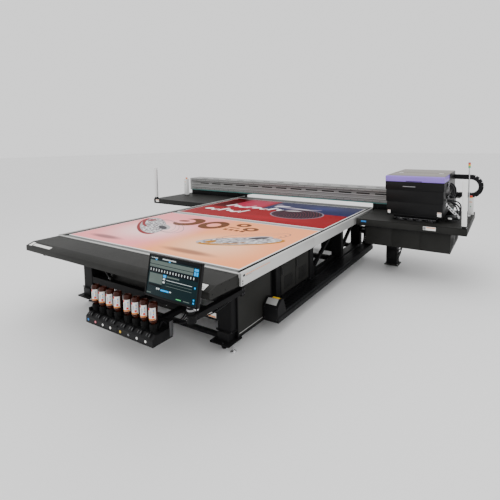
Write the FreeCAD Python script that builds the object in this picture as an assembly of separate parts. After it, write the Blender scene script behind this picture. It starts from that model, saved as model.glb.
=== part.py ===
import FreeCAD, Part
import math
import os

# Flatbed UV printer, modelled in millimetres.
# Working axes: +X to the machine's right, +Y to its back, +Z up from the floor.
# X = 0 is the middle of the table and Y = 0 is the front edge of the front board.
# On export everything is moved so that the origin is the middle of the footprint.

# ---- driving dimensions -------------------------------------------------------
BED_TOP = 800.0
BOARD_WIDTH = 2500.0
BOARD_DEPTH = 1500.0
BOARD_GAP = 94.0
BOARD_THICK = 5.0
TABLE_HALF = 1310.0
TABLE_FRONT = -80.0
TABLE_REAR = 3330.0
SLAB_THICK = 30.0
POST_IN = 940.0
POST_OUT = 1100.0
POST_ROWS = ((60.0, 140.0), (770.0, 850.0), (1510.0, 1610.0), (2470.0, 2550.0), (3230.0, 3330.0))
BASE_BOTTOM = 110.0
BASE_TOP = 190.0
CROSS_BOTTOM = 660.0
BEAM_BOTTOM = 890.0
BEAM_TOP = 1130.0
BEAM_FRONT = 3150.0
BEAM_REAR = 3450.0
BEAM_LEFT = -2580.0
BEAM_RIGHT = 2500.0
CARRIAGE_LEFT = 1730.0
CARRIAGE_RIGHT = 2470.0
CARRIAGE_FRONT = 2500.0
GAP = 0.6
TUBE_WALL = 5.0

# ---- sizes worked out from them --------------------------------------------------
SLAB_TOP = BED_TOP - BOARD_THICK
SLAB_BOTTOM = SLAB_TOP - SLAB_THICK
SIDE_BEAM_IN = TABLE_HALF - 180.0
SIDE_BEAM_OUT = TABLE_HALF - 100.0
SIDE_BEAM_BOTTOM = 640.0
RAIL_DEEP = 24.0
RAIL_Z = 688.0
COVER_THICK = 20.0
COVER_TOP = BED_TOP + 10.0
COVER_BOTTOM = BED_TOP - 100.0
UPRIGHT_IN = TABLE_HALF + 30.0
UPRIGHT_OUT = TABLE_HALF + 60.0


def vec(x, y, z):
    """A point or direction."""
    return FreeCAD.Vector(x, y, z)


def box(x0, x1, y0, y1, z0, z1):
    """Box between two corners."""
    return Part.makeBox(x1 - x0, y1 - y0, z1 - z0, vec(x0, y0, z0))


def disc(x, y, z, radius, length, direction=(0, 0, 1)):
    """Cylinder from a base centre along a direction."""
    return Part.makeCylinder(radius, length, vec(x, y, z), vec(*direction))


def cone(x, y, z, r_low, r_high, height):
    """Upright cone frustum from its base centre."""
    return Part.makeCone(r_low, r_high, height, vec(x, y, z), vec(0, 0, 1))


def prism_x(points_yz, x0, x1):
    """Outline given in Y and Z, extruded along X."""
    corners = [vec(x0, y, z) for y, z in points_yz]
    face = Part.Face(Part.makePolygon(corners + corners[:1]))
    return face.extrude(vec(x1 - x0, 0, 0))


def prism_y(points_xz, y0, y1):
    """Outline given in X and Z, extruded along Y."""
    corners = [vec(x, y0, z) for x, z in points_xz]
    face = Part.Face(Part.makePolygon(corners + corners[:1]))
    return face.extrude(vec(0, y1 - y0, 0))


def join(shapes):
    """One solid out of touching ones."""
    first = shapes[0]
    return first.fuse(shapes[1:]).removeSplitter()


def group(shapes):
    """Several separate solids kept in one node."""
    return Part.makeCompound(shapes)


def both_sides(shape):
    """The shape and its mirror image across the middle of the table."""
    return [shape, shape.mirror(vec(0, 0, 0), vec(1, 0, 0))]


def rounded(shape, radius, direction):
    """Rounds the straight edges that run along one axis."""
    edges = []
    for edge in shape.Edges:
        if not isinstance(edge.Curve, Part.Line):
            continue
        along = edge.Vertexes[-1].Point.sub(edge.Vertexes[0].Point)
        along.normalize()
        if abs(abs(along.dot(vec(*direction))) - 1) < 1e-6:
            edges.append(edge)
    return shape.makeFillet(radius, edges)


def casing(x0, x1, y0, y1, z0, z1, wall):
    """Closed sheet-metal box or capped tube with an empty inside."""
    outer = box(x0, x1, y0, y1, z0, z1)
    inner = box(x0 + wall, x1 - wall, y0 + wall, y1 - wall, z0 + wall, z1 - wall)
    return outer.cut(inner)


def bar(start, end, width_x, depth):
    """Straight flat bar in the Y-Z plane between two points of its centre line."""
    run = end.sub(start)
    length = run.Length
    solid = Part.makeBox(width_x, length, depth, vec(-width_x / 2, 0, -depth / 2))
    angle = math.degrees(math.atan2(run.z, run.y))
    solid.rotate(vec(0, 0, 0), vec(1, 0, 0), angle)
    solid.translate(start)
    return solid


def pipe(points, radius):
    """Round hose along a path of straight runs and arcs through triples of points."""
    edges = []
    for piece in points:
        corners = [vec(*p) for p in piece]
        if len(corners) == 2:
            edges.append(Part.LineSegment(*corners).toShape())
        else:
            edges.append(Part.Arc(*corners).toShape())
    path = Part.Wire(edges)
    start = path.Edges[0].Vertexes[0].Point
    heading = path.Edges[0].tangentAt(path.Edges[0].FirstParameter)
    profile = Part.Wire(Part.makeCircle(radius, start, heading))
    return path.makePipeShell([profile], True, True)


# ---- base and table ---------------------------------------------------------------
def base_frame():
    """Welded floor frame: long tubes, cross tubes, front rails and side diagonals."""
    post_mid = (POST_IN + POST_OUT) / 2
    half = 60.0
    long_tube = casing(post_mid - half, post_mid + half, 40, TABLE_REAR + 20, BASE_BOTTOM, BASE_TOP, TUBE_WALL)
    pieces = both_sides(long_tube)
    for front, rear in POST_ROWS[1:]:
        middle = (front + rear) / 2
        reach = post_mid - half
        pieces.append(casing(-reach, reach, middle - 30, middle + 30, BASE_BOTTOM, BASE_BOTTOM + 60, TUBE_WALL))
    reach = POST_IN
    pieces.append(box(-reach, reach, 64, 104, BASE_BOTTOM, BASE_BOTTOM + 32))
    pieces.append(casing(-reach, reach, 64, 124, 265, 335, TUBE_WALL))
    for bay in (2, 3):
        foot = vec(post_mid, POST_ROWS[bay][1] + 28, BASE_TOP + 18)
        head = vec(post_mid, POST_ROWS[bay + 1][0] - 28, CROSS_BOTTOM - 30)
        stay = bar(foot, head, 40, 40)
        pieces += both_sides(stay)
    return group(pieces)


def frame_posts():
    """Ten upright posts, and the plates under the floor frame for feet and castors."""
    posts = []
    for front, rear in POST_ROWS:
        post = rounded(box(POST_IN, POST_OUT, front, rear, BASE_TOP, CROSS_BOTTOM), 8, (0, 0, 1))
        hollow = box(POST_IN + TUBE_WALL, POST_OUT - TUBE_WALL, front + TUBE_WALL, rear - TUBE_WALL,
                     BASE_TOP + TUBE_WALL, CROSS_BOTTOM - TUBE_WALL)
        posts += both_sides(post.cut(hollow))
    for y in FOOT_ROWS:
        plate = box(905, 1125, y - 110, y + 80, PLATE_BOTTOM, BASE_BOTTOM)
        posts += both_sides(rounded(plate, 12, (0, 0, 1)))
    return group(posts)


FOOT_X = 1085.0
FOOT_ROWS = (100.0, 1820.0, 3280.0)
CASTER_X = 985.0
CASTER_ROWS = (80.0, 3280.0)
PLATE_BOTTOM = BASE_BOTTOM - 10.0


def levelling_feet():
    """Six screw feet with round pads, screwed down so that they carry the machine."""
    feet = []
    for y in FOOT_ROWS:
        pad = disc(FOOT_X, y, 0, 28, 8).fuse(cone(FOOT_X, y, 8, 28, 14, 10))
        stem = disc(FOOT_X, y, 18, 8, PLATE_BOTTOM - 18)
        nut = disc(FOOT_X, y, PLATE_BOTTOM - 14, 15, 14)
        feet += both_sides(join([pad, stem, nut]))
    return group(feet)


CASTER_RADIUS = 34.0
CASTER_TRAIL = 20.0
CASTER_LIFT = 4.0


def caster_fork(side, y):
    """Swivel fork of one castor, with its axle."""
    x = side * CASTER_X
    wheel_y = y + CASTER_TRAIL
    axle_z = CASTER_RADIUS + CASTER_LIFT
    crown_z = 2 * CASTER_RADIUS + CASTER_LIFT + 4
    crown = disc(x, y, crown_z, 26, PLATE_BOTTOM - crown_z - GAP)
    bridge = box(x - 21, x + 21, y - 14, wheel_y + 12, crown_z, crown_z + 5)
    cheeks = [box(x + a, x + a + 4, wheel_y - 12, wheel_y + 12, axle_z - 12, crown_z)
              for a in (-21, 17)]
    axle = disc(x - 23, wheel_y, axle_z, 5, 46, (1, 0, 0))
    return join([crown, bridge, axle] + cheeks)


def caster_wheel(side, y):
    """Wheel of one castor, free on its axle."""
    x = side * CASTER_X
    wheel_y = y + CASTER_TRAIL
    axle_z = CASTER_RADIUS + CASTER_LIFT
    tyre = disc(x - 14, wheel_y, axle_z, CASTER_RADIUS, 28, (1, 0, 0))
    tyre = tyre.makeFillet(4, [e for e in tyre.Edges if abs(e.Length - 2 * math.pi * CASTER_RADIUS) < 1])
    bore = disc(x - 15, wheel_y, axle_z, 5.4, 30, (1, 0, 0))
    return tyre.cut(bore)


def table_beams():
    """Two long table beams and the cross beams between them, under the slab."""
    side = casing(SIDE_BEAM_IN, SIDE_BEAM_OUT, TABLE_FRONT + 40, TABLE_REAR, SIDE_BEAM_BOTTOM, SLAB_BOTTOM,
                  TUBE_WALL)
    pieces = both_sides(side)
    for front, rear in POST_ROWS:
        pieces.append(casing(-SIDE_BEAM_IN, SIDE_BEAM_IN, front, rear, CROSS_BOTTOM, SLAB_BOTTOM, TUBE_WALL))
    return group(pieces)


def vacuum_bed():
    """Flat suction slab with a chamfered rear edge and two rows of zone grooves."""
    slab = box(-TABLE_HALF, TABLE_HALF, TABLE_FRONT + 20, TABLE_REAR, SLAB_BOTTOM, SLAB_TOP)
    middle = BOARD_DEPTH + BOARD_GAP / 2
    groove = box(-BOARD_WIDTH / 2, BOARD_WIDTH / 2, middle - 12, middle + 12, SLAB_TOP - 6, SLAB_TOP + 1)
    return slab.cut(groove)


def media_boards():
    """The two printed rigid boards lying on the slab."""
    half = BOARD_WIDTH / 2
    front = box(-half, half, 0, BOARD_DEPTH, SLAB_TOP, BED_TOP)
    rear_y = BOARD_DEPTH + BOARD_GAP
    rear = box(-half, half, rear_y, rear_y + BOARD_DEPTH, SLAB_TOP, BED_TOP)
    return group([front, rear])


def edge_covers():
    """Bright side covers along the table and the thin strip in front of the slab."""
    outline = [(TABLE_HALF, COVER_BOTTOM), (TABLE_HALF + COVER_THICK, COVER_BOTTOM),
               (TABLE_HALF + COVER_THICK, COVER_TOP - 8), (TABLE_HALF + COVER_THICK - 8, COVER_TOP),
               (TABLE_HALF, COVER_TOP)]
    side = prism_y(outline, TABLE_FRONT + 5, TABLE_REAR)
    strip = box(-TABLE_HALF, TABLE_HALF, TABLE_FRONT, TABLE_FRONT + 20, SLAB_BOTTOM, BED_TOP + 3)
    return group(both_sides(side) + [strip])


APRON_OUT = -410.0
APRON_BEND = -338.0
APRON_TOP = BED_TOP - 3.0
LIP_TOP = BED_TOP - 32.0
LIP_BOTTOM = BED_TOP - 78.0
SHEET = 12.0


def front_apron():
    """Folded front cover: flat top, sloping face and short vertical lip."""
    outline = [(TABLE_FRONT, APRON_TOP), (APRON_BEND, APRON_TOP), (APRON_OUT, LIP_TOP),
               (APRON_OUT, LIP_BOTTOM), (APRON_OUT + SHEET, LIP_BOTTOM),
               (APRON_OUT + SHEET, LIP_TOP - 9), (APRON_BEND + 3, APRON_TOP - SHEET),
               (TABLE_FRONT, APRON_TOP - SHEET)]
    half = TABLE_HALF - SHEET
    return prism_x(outline, -half, half)


def apron_supports():
    """End plates of the front cover, and the two brackets that carry it from the posts."""
    end = [(TABLE_FRONT, APRON_TOP), (APRON_BEND, APRON_TOP), (APRON_OUT, LIP_TOP),
           (APRON_OUT, LIP_BOTTOM), (TABLE_FRONT + 20, LIP_BOTTOM - 8), (TABLE_FRONT + 20, SLAB_BOTTOM),
           (TABLE_FRONT, SLAB_BOTTOM)]
    plate = prism_x(end, TABLE_HALF - SHEET, TABLE_HALF)
    lip_in = APRON_OUT + SHEET
    arm = [(60, 700), (lip_in, 700), (lip_in, 745), (60, 745)]
    stay = [(lip_in, 700), (60, 440), (60, 500), (lip_in + 90, 700)]
    bracket = join([prism_x(arm, 960, 1000), prism_x(stay, 960, 1000)])
    return group(both_sides(plate) + both_sides(bracket))


HOSE_ENDS = ((0.0, 610.0), (0.0, 370.0), (30.0, 580.0), (30.0, 400.0))
HOSE_BULGE = 100.0


def cover_panels():
    """Side cover panels by the front posts, the front service panel and its hose glands."""
    side = box(POST_OUT, POST_OUT + 12, 135, 655, 112, SIDE_BEAM_BOTTOM)
    service = box(-620, 640, 124, 136, BASE_TOP, 640)
    glands = [box(-620, -592, 58 + a, 124, z - 14, z + 14) for a, z in HOSE_ENDS]
    return group(both_sides(side) + [join([service] + glands)])


def air_hoses():
    """Two bowed vacuum hoses beside the front service panel."""
    hoses = []
    for upper, lower in ((HOSE_ENDS[0], HOSE_ENDS[1]), (HOSE_ENDS[2], HOSE_ENDS[3])):
        y = 58 + upper[0] + 14
        top = (-620, y, upper[1])
        low = (-620, y, lower[1])
        out = (-620 - HOSE_BULGE + upper[0] * 0.4, y, (upper[1] + lower[1]) / 2)
        hoses.append(pipe([(top, out, low)], 8).cut(box(-620, -580, 0, 200, 200, 700)))
    return group(hoses)


def under_bed_units():
    """Electrical cabinet on the right, and two suction blowers with risers to the slab."""
    cabinet = casing(700, 1090, 865, 1495, 215, 640, 4)
    pieces = [cabinet, box(700, 1090, 900, 940, BASE_TOP, 215), box(700, 1090, 1420, 1460, BASE_TOP, 215)]
    for x in (-620.0, -140.0):
        drum = disc(x, 1780, 380, 150, 220, (0, 1, 0)).cut(disc(x, 1786, 380, 144, 208, (0, 1, 0)))
        motor = disc(x, 2000, 380, 85, 170, (0, 1, 0)).cut(disc(x, 2020, 380, 60, 130, (0, 1, 0)))
        riser = disc(x, 1890, 500, 45, SLAB_BOTTOM - 500)
        stand = box(x - 120, x + 120, 1800, 1980, BASE_BOTTOM + 60, 300)
        pieces += [drum, motor, riser.cut(drum), stand.cut(drum)]
    pieces.append(box(-780, 20, 1810, 1970, BASE_BOTTOM, BASE_BOTTOM + 60))
    return group(pieces)


# ---- long cable chain beside the table ----------------------------------------------
TRAY_IN = 1120.0
TRAY_OUT = 1300.0
TRAY_Z = 130.0
YCHAIN_BOTTOM = 140.0
YCHAIN_THICK = 60.0
YCHAIN_RADIUS = 180.0
YCHAIN_TURN = 3200.0
YCHAIN_START = 660.0
YCHAIN_END = 3080.0


def chain_tray():
    """Shallow tray for the long cable chain, on brackets, with its front end box."""
    floor = box(TRAY_IN, TRAY_OUT, 500, 3300, TRAY_Z, TRAY_Z + 6)
    flanges = [box(x, x + 5, 500, 3300, TRAY_Z + 6, TRAY_Z + 50) for x in (TRAY_IN, TRAY_OUT - 5)]
    arms = [box(POST_OUT - 60, TRAY_IN + 40, y - 20, y + 20, BASE_BOTTOM, TRAY_Z)
            for y in (810, 1560, 2510, 3200)]
    end = [(500, TRAY_Z + 6), (500, TRAY_Z + 150), (560, TRAY_Z + 205), (600, TRAY_Z + 205),
           (655, TRAY_Z + 60), (655, TRAY_Z + 6)]
    cap = prism_x(end, TRAY_IN + 5, TRAY_OUT - 5)
    arms = [arm.cut(box(TRAY_IN - 200, POST_OUT - 20, 0, 4000, BASE_BOTTOM - 1, BASE_TOP)) for arm in arms]
    return group([join([floor, cap] + flanges + arms)])


def chain_bend(centre, radius, thick, axis, width):
    """Half turn of flat chain about a centre, opening away from its bulge."""
    outer = Part.makeCylinder(radius, width, centre, axis)
    inner = Part.makeCylinder(radius - thick, width, centre, axis)
    return outer.cut(inner)


def y_chain_lower_run():
    """Lower run of the long chain, lying in the tray."""
    return box(TRAY_IN + 10, TRAY_OUT - 10, YCHAIN_START, YCHAIN_TURN, YCHAIN_BOTTOM, YCHAIN_BOTTOM + YCHAIN_THICK)


def y_chain_loop():
    """Travelling half turn of the long chain."""
    centre = vec(TRAY_IN + 10, YCHAIN_TURN, YCHAIN_BOTTOM + YCHAIN_RADIUS)
    ring = chain_bend(centre, YCHAIN_RADIUS, YCHAIN_THICK, vec(1, 0, 0), TRAY_OUT - TRAY_IN - 20)
    keep = box(TRAY_IN, TRAY_OUT, YCHAIN_TURN, YCHAIN_TURN + 400, 0, 900)
    return ring.common(keep)


def y_chain_upper_run():
    """Upper run of the long chain, from its half turn to the gantry bracket."""
    top = YCHAIN_BOTTOM + 2 * YCHAIN_RADIUS
    return box(TRAY_IN + 10, TRAY_OUT - 10, YCHAIN_END, YCHAIN_TURN, top - YCHAIN_THICK, top)


def linear_rails():
    """Guide rails on the outer faces of the table beams."""
    rail = box(SIDE_BEAM_OUT, SIDE_BEAM_OUT + RAIL_DEEP, 40, TABLE_REAR - 4, RAIL_Z - 12, RAIL_Z + 12)
    waist = box(SIDE_BEAM_OUT + 6, SIDE_BEAM_OUT + 16, 39, TABLE_REAR, RAIL_Z + 8, RAIL_Z + 13)
    waist_low = box(SIDE_BEAM_OUT + 6, SIDE_BEAM_OUT + 16, 39, TABLE_REAR, RAIL_Z - 13, RAIL_Z - 8)
    return group(both_sides(rail.cut(waist).cut(waist_low)))


# ---- ink unit -----------------------------------------------------------------------
TRAY_LEFT = -150.0
TRAY_RIGHT = 750.0
INK_FRONT = -470.0
INK_REAR = -270.0
INK_BOTTOM = 230.0
SHELF_Z = 318.0
BOTTLE_Y = -400.0
BOTTLE_PITCH = 107.0
BOTTLE_FIRST = (-95.0, 362.0)
BOTTLE_RADIUS = 35.0
CUP_TOP = 388.0


def bottle_places():
    """X of each ink bottle, in two groups of four."""
    return [first + BOTTLE_PITCH * k for first in BOTTLE_FIRST for k in range(4)]


def ink_tray():
    """Housing under the bottles with a clip row on its slope, hung from the front rail."""
    outline = [(INK_FRONT, INK_BOTTOM), (INK_FRONT, 288), (INK_FRONT + 8, 296), (-436, SHELF_Z),
               (-290, SHELF_Z), (-290, 345), (INK_REAR, 345), (INK_REAR, INK_BOTTOM)]
    shell = prism_x(outline, TRAY_LEFT, TRAY_RIGHT)
    clips = []
    for x in bottle_places():
        wedge = [(INK_FRONT + 6, 292), (INK_FRONT + 6, 306), (-446, 328), (-436, 328), (-436, 312)]
        clips.append(prism_x(wedge, x - 24, x + 24))
    hangers = []
    for x in (20.0, 520.0):
        hangers.append(box(x, x + 60, INK_REAR, 64, 290, 330))
    return join([shell] + clips + hangers)


def bottle_sockets():
    """Cup under each bottle that takes its neck."""
    cups = []
    for x in bottle_places():
        cup = cone(x, BOTTLE_Y, SHELF_Z, 29, 25, 30).fuse(disc(x, BOTTLE_Y, SHELF_Z + 30, 30, CUP_TOP - SHELF_Z - 30))
        bore = disc(x, BOTTLE_Y, SHELF_Z + 12, 21, CUP_TOP)
        cups.append(cup.cut(bore).removeSplitter())
    return group(cups)


def ink_bottle(x):
    """Round ink bottle standing on its neck."""
    points = [(0, 334), (16, 334), (19, 337), (19, 392), (24, 396), (BOTTLE_RADIUS, 414),
              (BOTTLE_RADIUS, 553), (BOTTLE_RADIUS - 4, 561), (BOTTLE_RADIUS - 10, 565), (0, 565)]
    corners = [vec(r, 0, z) for r, z in points]
    face = Part.Face(Part.makePolygon(corners + corners[:1]))
    solid = face.revolve(vec(0, 0, 0), vec(0, 0, 1), 360)
    solid.translate(vec(x, BOTTLE_Y, 0))
    return solid


# ---- valves --------------------------------------------------------------------------
VALVE_X = (-120.0, 20.0, 160.0)
VALVE_Y = -92.0
VALVE_Z = 560.0


def valve_manifold():
    """Block with three valve bodies that switch the suction zones."""
    block = box(-170, 230, VALVE_Y + 12, VALVE_Y + 72, VALVE_Z - 30, VALVE_Z + 30)
    back = box(0, 60, VALVE_Y + 72, 124, VALVE_Z - 15, VALVE_Z + 15)
    spindles = [disc(x, VALVE_Y, VALVE_Z, 8, 14, (0, 1, 0)) for x in VALVE_X]
    return join([block, back] + spindles)


def valve_lever(x):
    """Lever handle of one valve."""
    hub = disc(x, VALVE_Y - 18, VALVE_Z, 15, 17.4, (0, 1, 0))
    grip = rounded(box(x, x + 96, VALVE_Y - 30, VALVE_Y - 18, VALVE_Z - 10, VALVE_Z + 10), 5, (0, 1, 0))
    boss = disc(x, VALVE_Y - 30, VALVE_Z, 15, 12, (0, 1, 0))
    return join([hub, grip, boss])


# ---- monitor ---------------------------------------------------------------------------
PIVOT_X = 1190.0
PIVOT_Y = -470.0
SCREEN_WIDTH = 530.0
SCREEN_HEIGHT = 302.0
SCREEN_THICK = 34.0
SCREEN_MID = (1090.0, -535.0, 870.0)
SCREEN_TILT = 11.5
TILT_Y = -478.0
TILT_Z = 812.0


def monitor_bracket():
    """Fixed arm from the front right post to the monitor swivel."""
    foot = box(POST_OUT, PIVOT_X + 25, 70, 110, 540, 620)
    tube = box(PIVOT_X - 25, PIVOT_X + 25, PIVOT_Y, 70, 560, 600)
    cup = disc(PIVOT_X, PIVOT_Y, 550, 34, 60)
    return join([foot, tube, cup])


def monitor_arm():
    """Swivel column, knob and yoke that carry the screen."""
    column = disc(PIVOT_X, PIVOT_Y, 610 + GAP, 22, 130)
    collar = disc(PIVOT_X, PIVOT_Y, 640, 32, 46)
    knob = disc(PIVOT_X + 30, PIVOT_Y, 663, 17, 34, (1, 0, 0))
    plate = box(PIVOT_X - 30, PIVOT_X + 30, PIVOT_Y - 8, PIVOT_Y + 8, 735, TILT_Z + 14)
    barrel = disc(PIVOT_X - 30, TILT_Y, TILT_Z, 12, 60, (1, 0, 0))
    return join([column, collar, knob, plate, barrel])


def monitor():
    """Flat touch monitor with hinge lugs on its back."""
    half = SCREEN_WIDTH / 2
    tall = SCREEN_HEIGHT / 2
    body = box(-half, half, -SCREEN_THICK / 2, SCREEN_THICK / 2, -tall, tall)
    body = rounded(body, 8, (0, 1, 0))
    back = box(-half + 90, half - 30, SCREEN_THICK / 2, SCREEN_THICK / 2 + 10, -tall + 20, tall - 60)
    body = body.fuse(back)
    body.rotate(vec(0, 0, 0), vec(1, 0, 0), -SCREEN_TILT)
    body.translate(vec(*SCREEN_MID))
    lugs = []
    for x in (PIVOT_X - 44, PIVOT_X + 31):
        ear = box(x, x + 13, -516, TILT_Y, TILT_Z - 13, TILT_Z + 13)
        lugs.append(ear.fuse(disc(x, TILT_Y, TILT_Z, 13, 13, (1, 0, 0))))
    return join([body] + lugs)


# ---- gantry -----------------------------------------------------------------------------
def gantry_beam():
    """Long cross beam with stepped top, front grooves, guide rails and rear chain ledge."""
    low, high = BEAM_BOTTOM, BEAM_TOP
    outline = [(BEAM_FRONT, low), (BEAM_FRONT, low + 150), (BEAM_FRONT + 8, low + 158),
               (BEAM_FRONT + 8, low + 172), (BEAM_FRONT, low + 180), (BEAM_FRONT, high - 18),
               (BEAM_FRONT + 18, high), (BEAM_REAR - 18, high), (BEAM_REAR, high - 18), (BEAM_REAR, low)]
    tube = prism_x(outline, BEAM_LEFT, BEAM_RIGHT)
    wall = 14.0
    hollow = box(BEAM_LEFT + wall, BEAM_RIGHT - wall, BEAM_FRONT + 2 * wall, BEAM_REAR - wall, low + wall, high - wall)
    rails = [box(BEAM_LEFT + 40, BEAM_RIGHT, BEAM_FRONT - 22, BEAM_FRONT, z - 11, z + 11) for z in BEAM_RAIL_Z]
    ledge = box(300, 2560, BEAM_REAR, BEAM_REAR + 120, XCHAIN_BOTTOM - 18, XCHAIN_BOTTOM - 2)
    return group([tube.cut(hollow), ledge] + rails)


BEAM_RAIL_Z = (930.0, 1092.0)
XCHAIN_Y0 = 3460.0
XCHAIN_Y1 = 3560.0
XCHAIN_BOTTOM = 1026.0
XCHAIN_THICK = 66.0
XCHAIN_RADIUS = 165.0
XCHAIN_TURN = 2695.0
XCHAIN_START = 400.0


def gantry_uprights():
    """Guide blocks on the table rails, the side plates and the pads up to the beam."""
    block = box(SIDE_BEAM_OUT + 3, TABLE_HALF - 8, 2900, 3300, 652, 724)
    slot = box(SIDE_BEAM_OUT, SIDE_BEAM_OUT + RAIL_DEEP + GAP, 2899, 3301, RAIL_Z - 12 - GAP, RAIL_Z + 12 + GAP)
    bridge = box(TABLE_HALF - 8, UPRIGHT_OUT, 2900, 3300, SIDE_BEAM_BOTTOM, COVER_BOTTOM - 12)
    plate = box(UPRIGHT_IN, UPRIGHT_OUT, 2900, BEAM_REAR, SIDE_BEAM_BOTTOM, 740)
    column = box(UPRIGHT_IN, UPRIGHT_OUT, BEAM_FRONT + 10, BEAM_REAR, 740, BEAM_BOTTOM)
    side = join([block.cut(slot), bridge, plate, column])
    hook = box(TRAY_OUT - 90, UPRIGHT_OUT, YCHAIN_END - 90, YCHAIN_END, 440, SIDE_BEAM_BOTTOM)
    hook = hook.cut(box(TRAY_OUT - 100, TRAY_OUT - 30, YCHAIN_END - 100, YCHAIN_END + 10, 500, 700))
    right = join([side, hook])
    left = side.mirror(vec(0, 0, 0), vec(1, 0, 0))
    pad_left = casing(-2560, -UPRIGHT_OUT, BEAM_FRONT + 20, BEAM_REAR - 20, BED_TOP, BEAM_BOTTOM, TUBE_WALL)
    tongue = box(-UPRIGHT_IN, -1160, BEAM_FRONT + 20, BEAM_REAR - 20, BEAM_BOTTOM - 40, BEAM_BOTTOM)
    pad_right = casing(UPRIGHT_OUT, 2480, BEAM_FRONT + 20, BEAM_REAR - 20, BED_TOP, BEAM_BOTTOM, TUBE_WALL)
    return group([left, pad_left, tongue, right, pad_right])


DECK_RIGHT = 2750.0
DECK_FRONT = 2360.0
DECK_REAR = 3600.0
DECK_BOTTOM = BED_TOP - 85.0
CAP_BAY = (1820.0, 2380.0, 2580.0, 3080.0)


def station_deck():
    """Wide shallow deck of the service station, with the open bay of the capping unit."""
    deck = casing(UPRIGHT_OUT, DECK_RIGHT, DECK_FRONT, DECK_REAR, DECK_BOTTOM, BED_TOP, 6)
    x0, x1, y0, y1 = CAP_BAY
    well = box(x0 - 6, x1 + 6, y0 - 6, y1 + 6, DECK_BOTTOM, BED_TOP)
    bay = box(x0, x1, y0, y1, DECK_BOTTOM + 14, BED_TOP + 1)
    return deck.fuse(well).cut(bay).removeSplitter()


def cap_unit():
    """Capping and wiping unit that rises to the print heads."""
    x0, x1, y0, y1 = CAP_BAY
    base = casing(x0 + 10, x1 - 10, y0 + 10, y1 - 10, DECK_BOTTOM + 14 + GAP, BED_TOP - 16, 3)
    pads = []
    for k in range(4):
        x = x0 + 40 + 125 * k
        pads.append(box(x, x + 85, y0 + 60, y1 - 90, BED_TOP - 16, BED_TOP - 4))
    wiper = box(x0 + 30, x1 - 30, y1 - 60, y1 - 50, BED_TOP - 16, BED_TOP - 2)
    return join([base, wiper] + pads)


def station_body():
    """Closed cabinet under the deck, and the hanging waste column below it."""
    cabinet = casing(1470, 2560, 2450, 3300, 450, DECK_BOTTOM, 5)
    column = casing(1640, 1780, 2900, 3050, 60, 450, 4)
    plate = box(1610, 1810, 2880, 3070, 42, 60)
    return group([cabinet, column, plate])


def left_shelf():
    """Plain deck at the left end of the gantry."""
    return casing(-2700, -UPRIGHT_OUT, 2330, 3500, BED_TOP - 70, BED_TOP, 6)


def sensor_pillars():
    """Upright safety-beam pillars at the front corners of the two decks."""
    left = box(-2690, -2640, 2340, 2390, BED_TOP + 28, BED_TOP + 590)
    left_foot = box(-2696, -2634, 2334, 2396, BED_TOP, BED_TOP + 28)
    right = box(2688, 2744, 2366, 2422, BED_TOP + 28, BED_TOP + 570)
    right_foot = box(2682, 2748, 2362, 2428, BED_TOP, BED_TOP + 28)
    return group([rounded(left, 8, (0, 0, 1)), left_foot, rounded(right, 8, (0, 0, 1)), right_foot])


STOP_LEFT = (-2530.0, 3000.0)
STOP_RIGHT = (2712.0, 3340.0)
STOP_LEFT_Z = BED_TOP + 325.0
STOP_RIGHT_Z = BED_TOP + 245.0
STOP_TRAVEL = 6.0


def control_boxes():
    """White switch boxes on the two decks, with a bore for each stop button."""
    boxes = []
    for (x, y), top in ((STOP_LEFT, STOP_LEFT_Z), (STOP_RIGHT, STOP_RIGHT_Z)):
        body = rounded(box(x - 36, x + 36, y - 34, y + 34, BED_TOP, top), 10, (0, 0, 1))
        collar = disc(x, y, top, 24, 5)
        bore = disc(x, y, top - 14, 12, 30)
        boxes.append(join([body, collar]).cut(bore))
    return group(boxes)


def stop_button(place, top):
    """Red mushroom button: head above the collar, stem inside the bore."""
    x, y = place
    z = top + 5
    head = cone(x, y, z + STOP_TRAVEL + 2, 17, 20, 5)
    dome = disc(x, y, z + STOP_TRAVEL + 7, 20, 9)
    dome = dome.makeFillet(4, [dome.Edges[0]])
    stem = disc(x, y, z - 8, 11, STOP_TRAVEL + 11)
    return join([stem, head, dome])


def tower_light():
    """Signal tower: base, pole and two lamp segments."""
    x, y = 2690.0, 3240.0
    base = disc(x, y, BED_TOP, 28, 14)
    pole = disc(x, y, BED_TOP + 14, 8, 660)
    lamps = disc(x, y, BED_TOP + 674, 16, 70)
    top = disc(x, y, BED_TOP + 744, 13, 7)
    return join([base, pole, lamps, top])


# ---- carriage --------------------------------------------------------------------------------
HEAD_X = (1832.0, 2368.0)
HEAD_Y = (2566.0, 3076.0)
HEAD_BOTTOM = BED_TOP + 15.0
HEAD_TOP = 1000.0
SKIRT_Z = BED_TOP + 80.0
BAND_Z = (SKIRT_Z, 1050.0, 1210.0, 1318.0)
REAR_TOP = 1404.0
SEAM_Y = 2950.0


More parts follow.
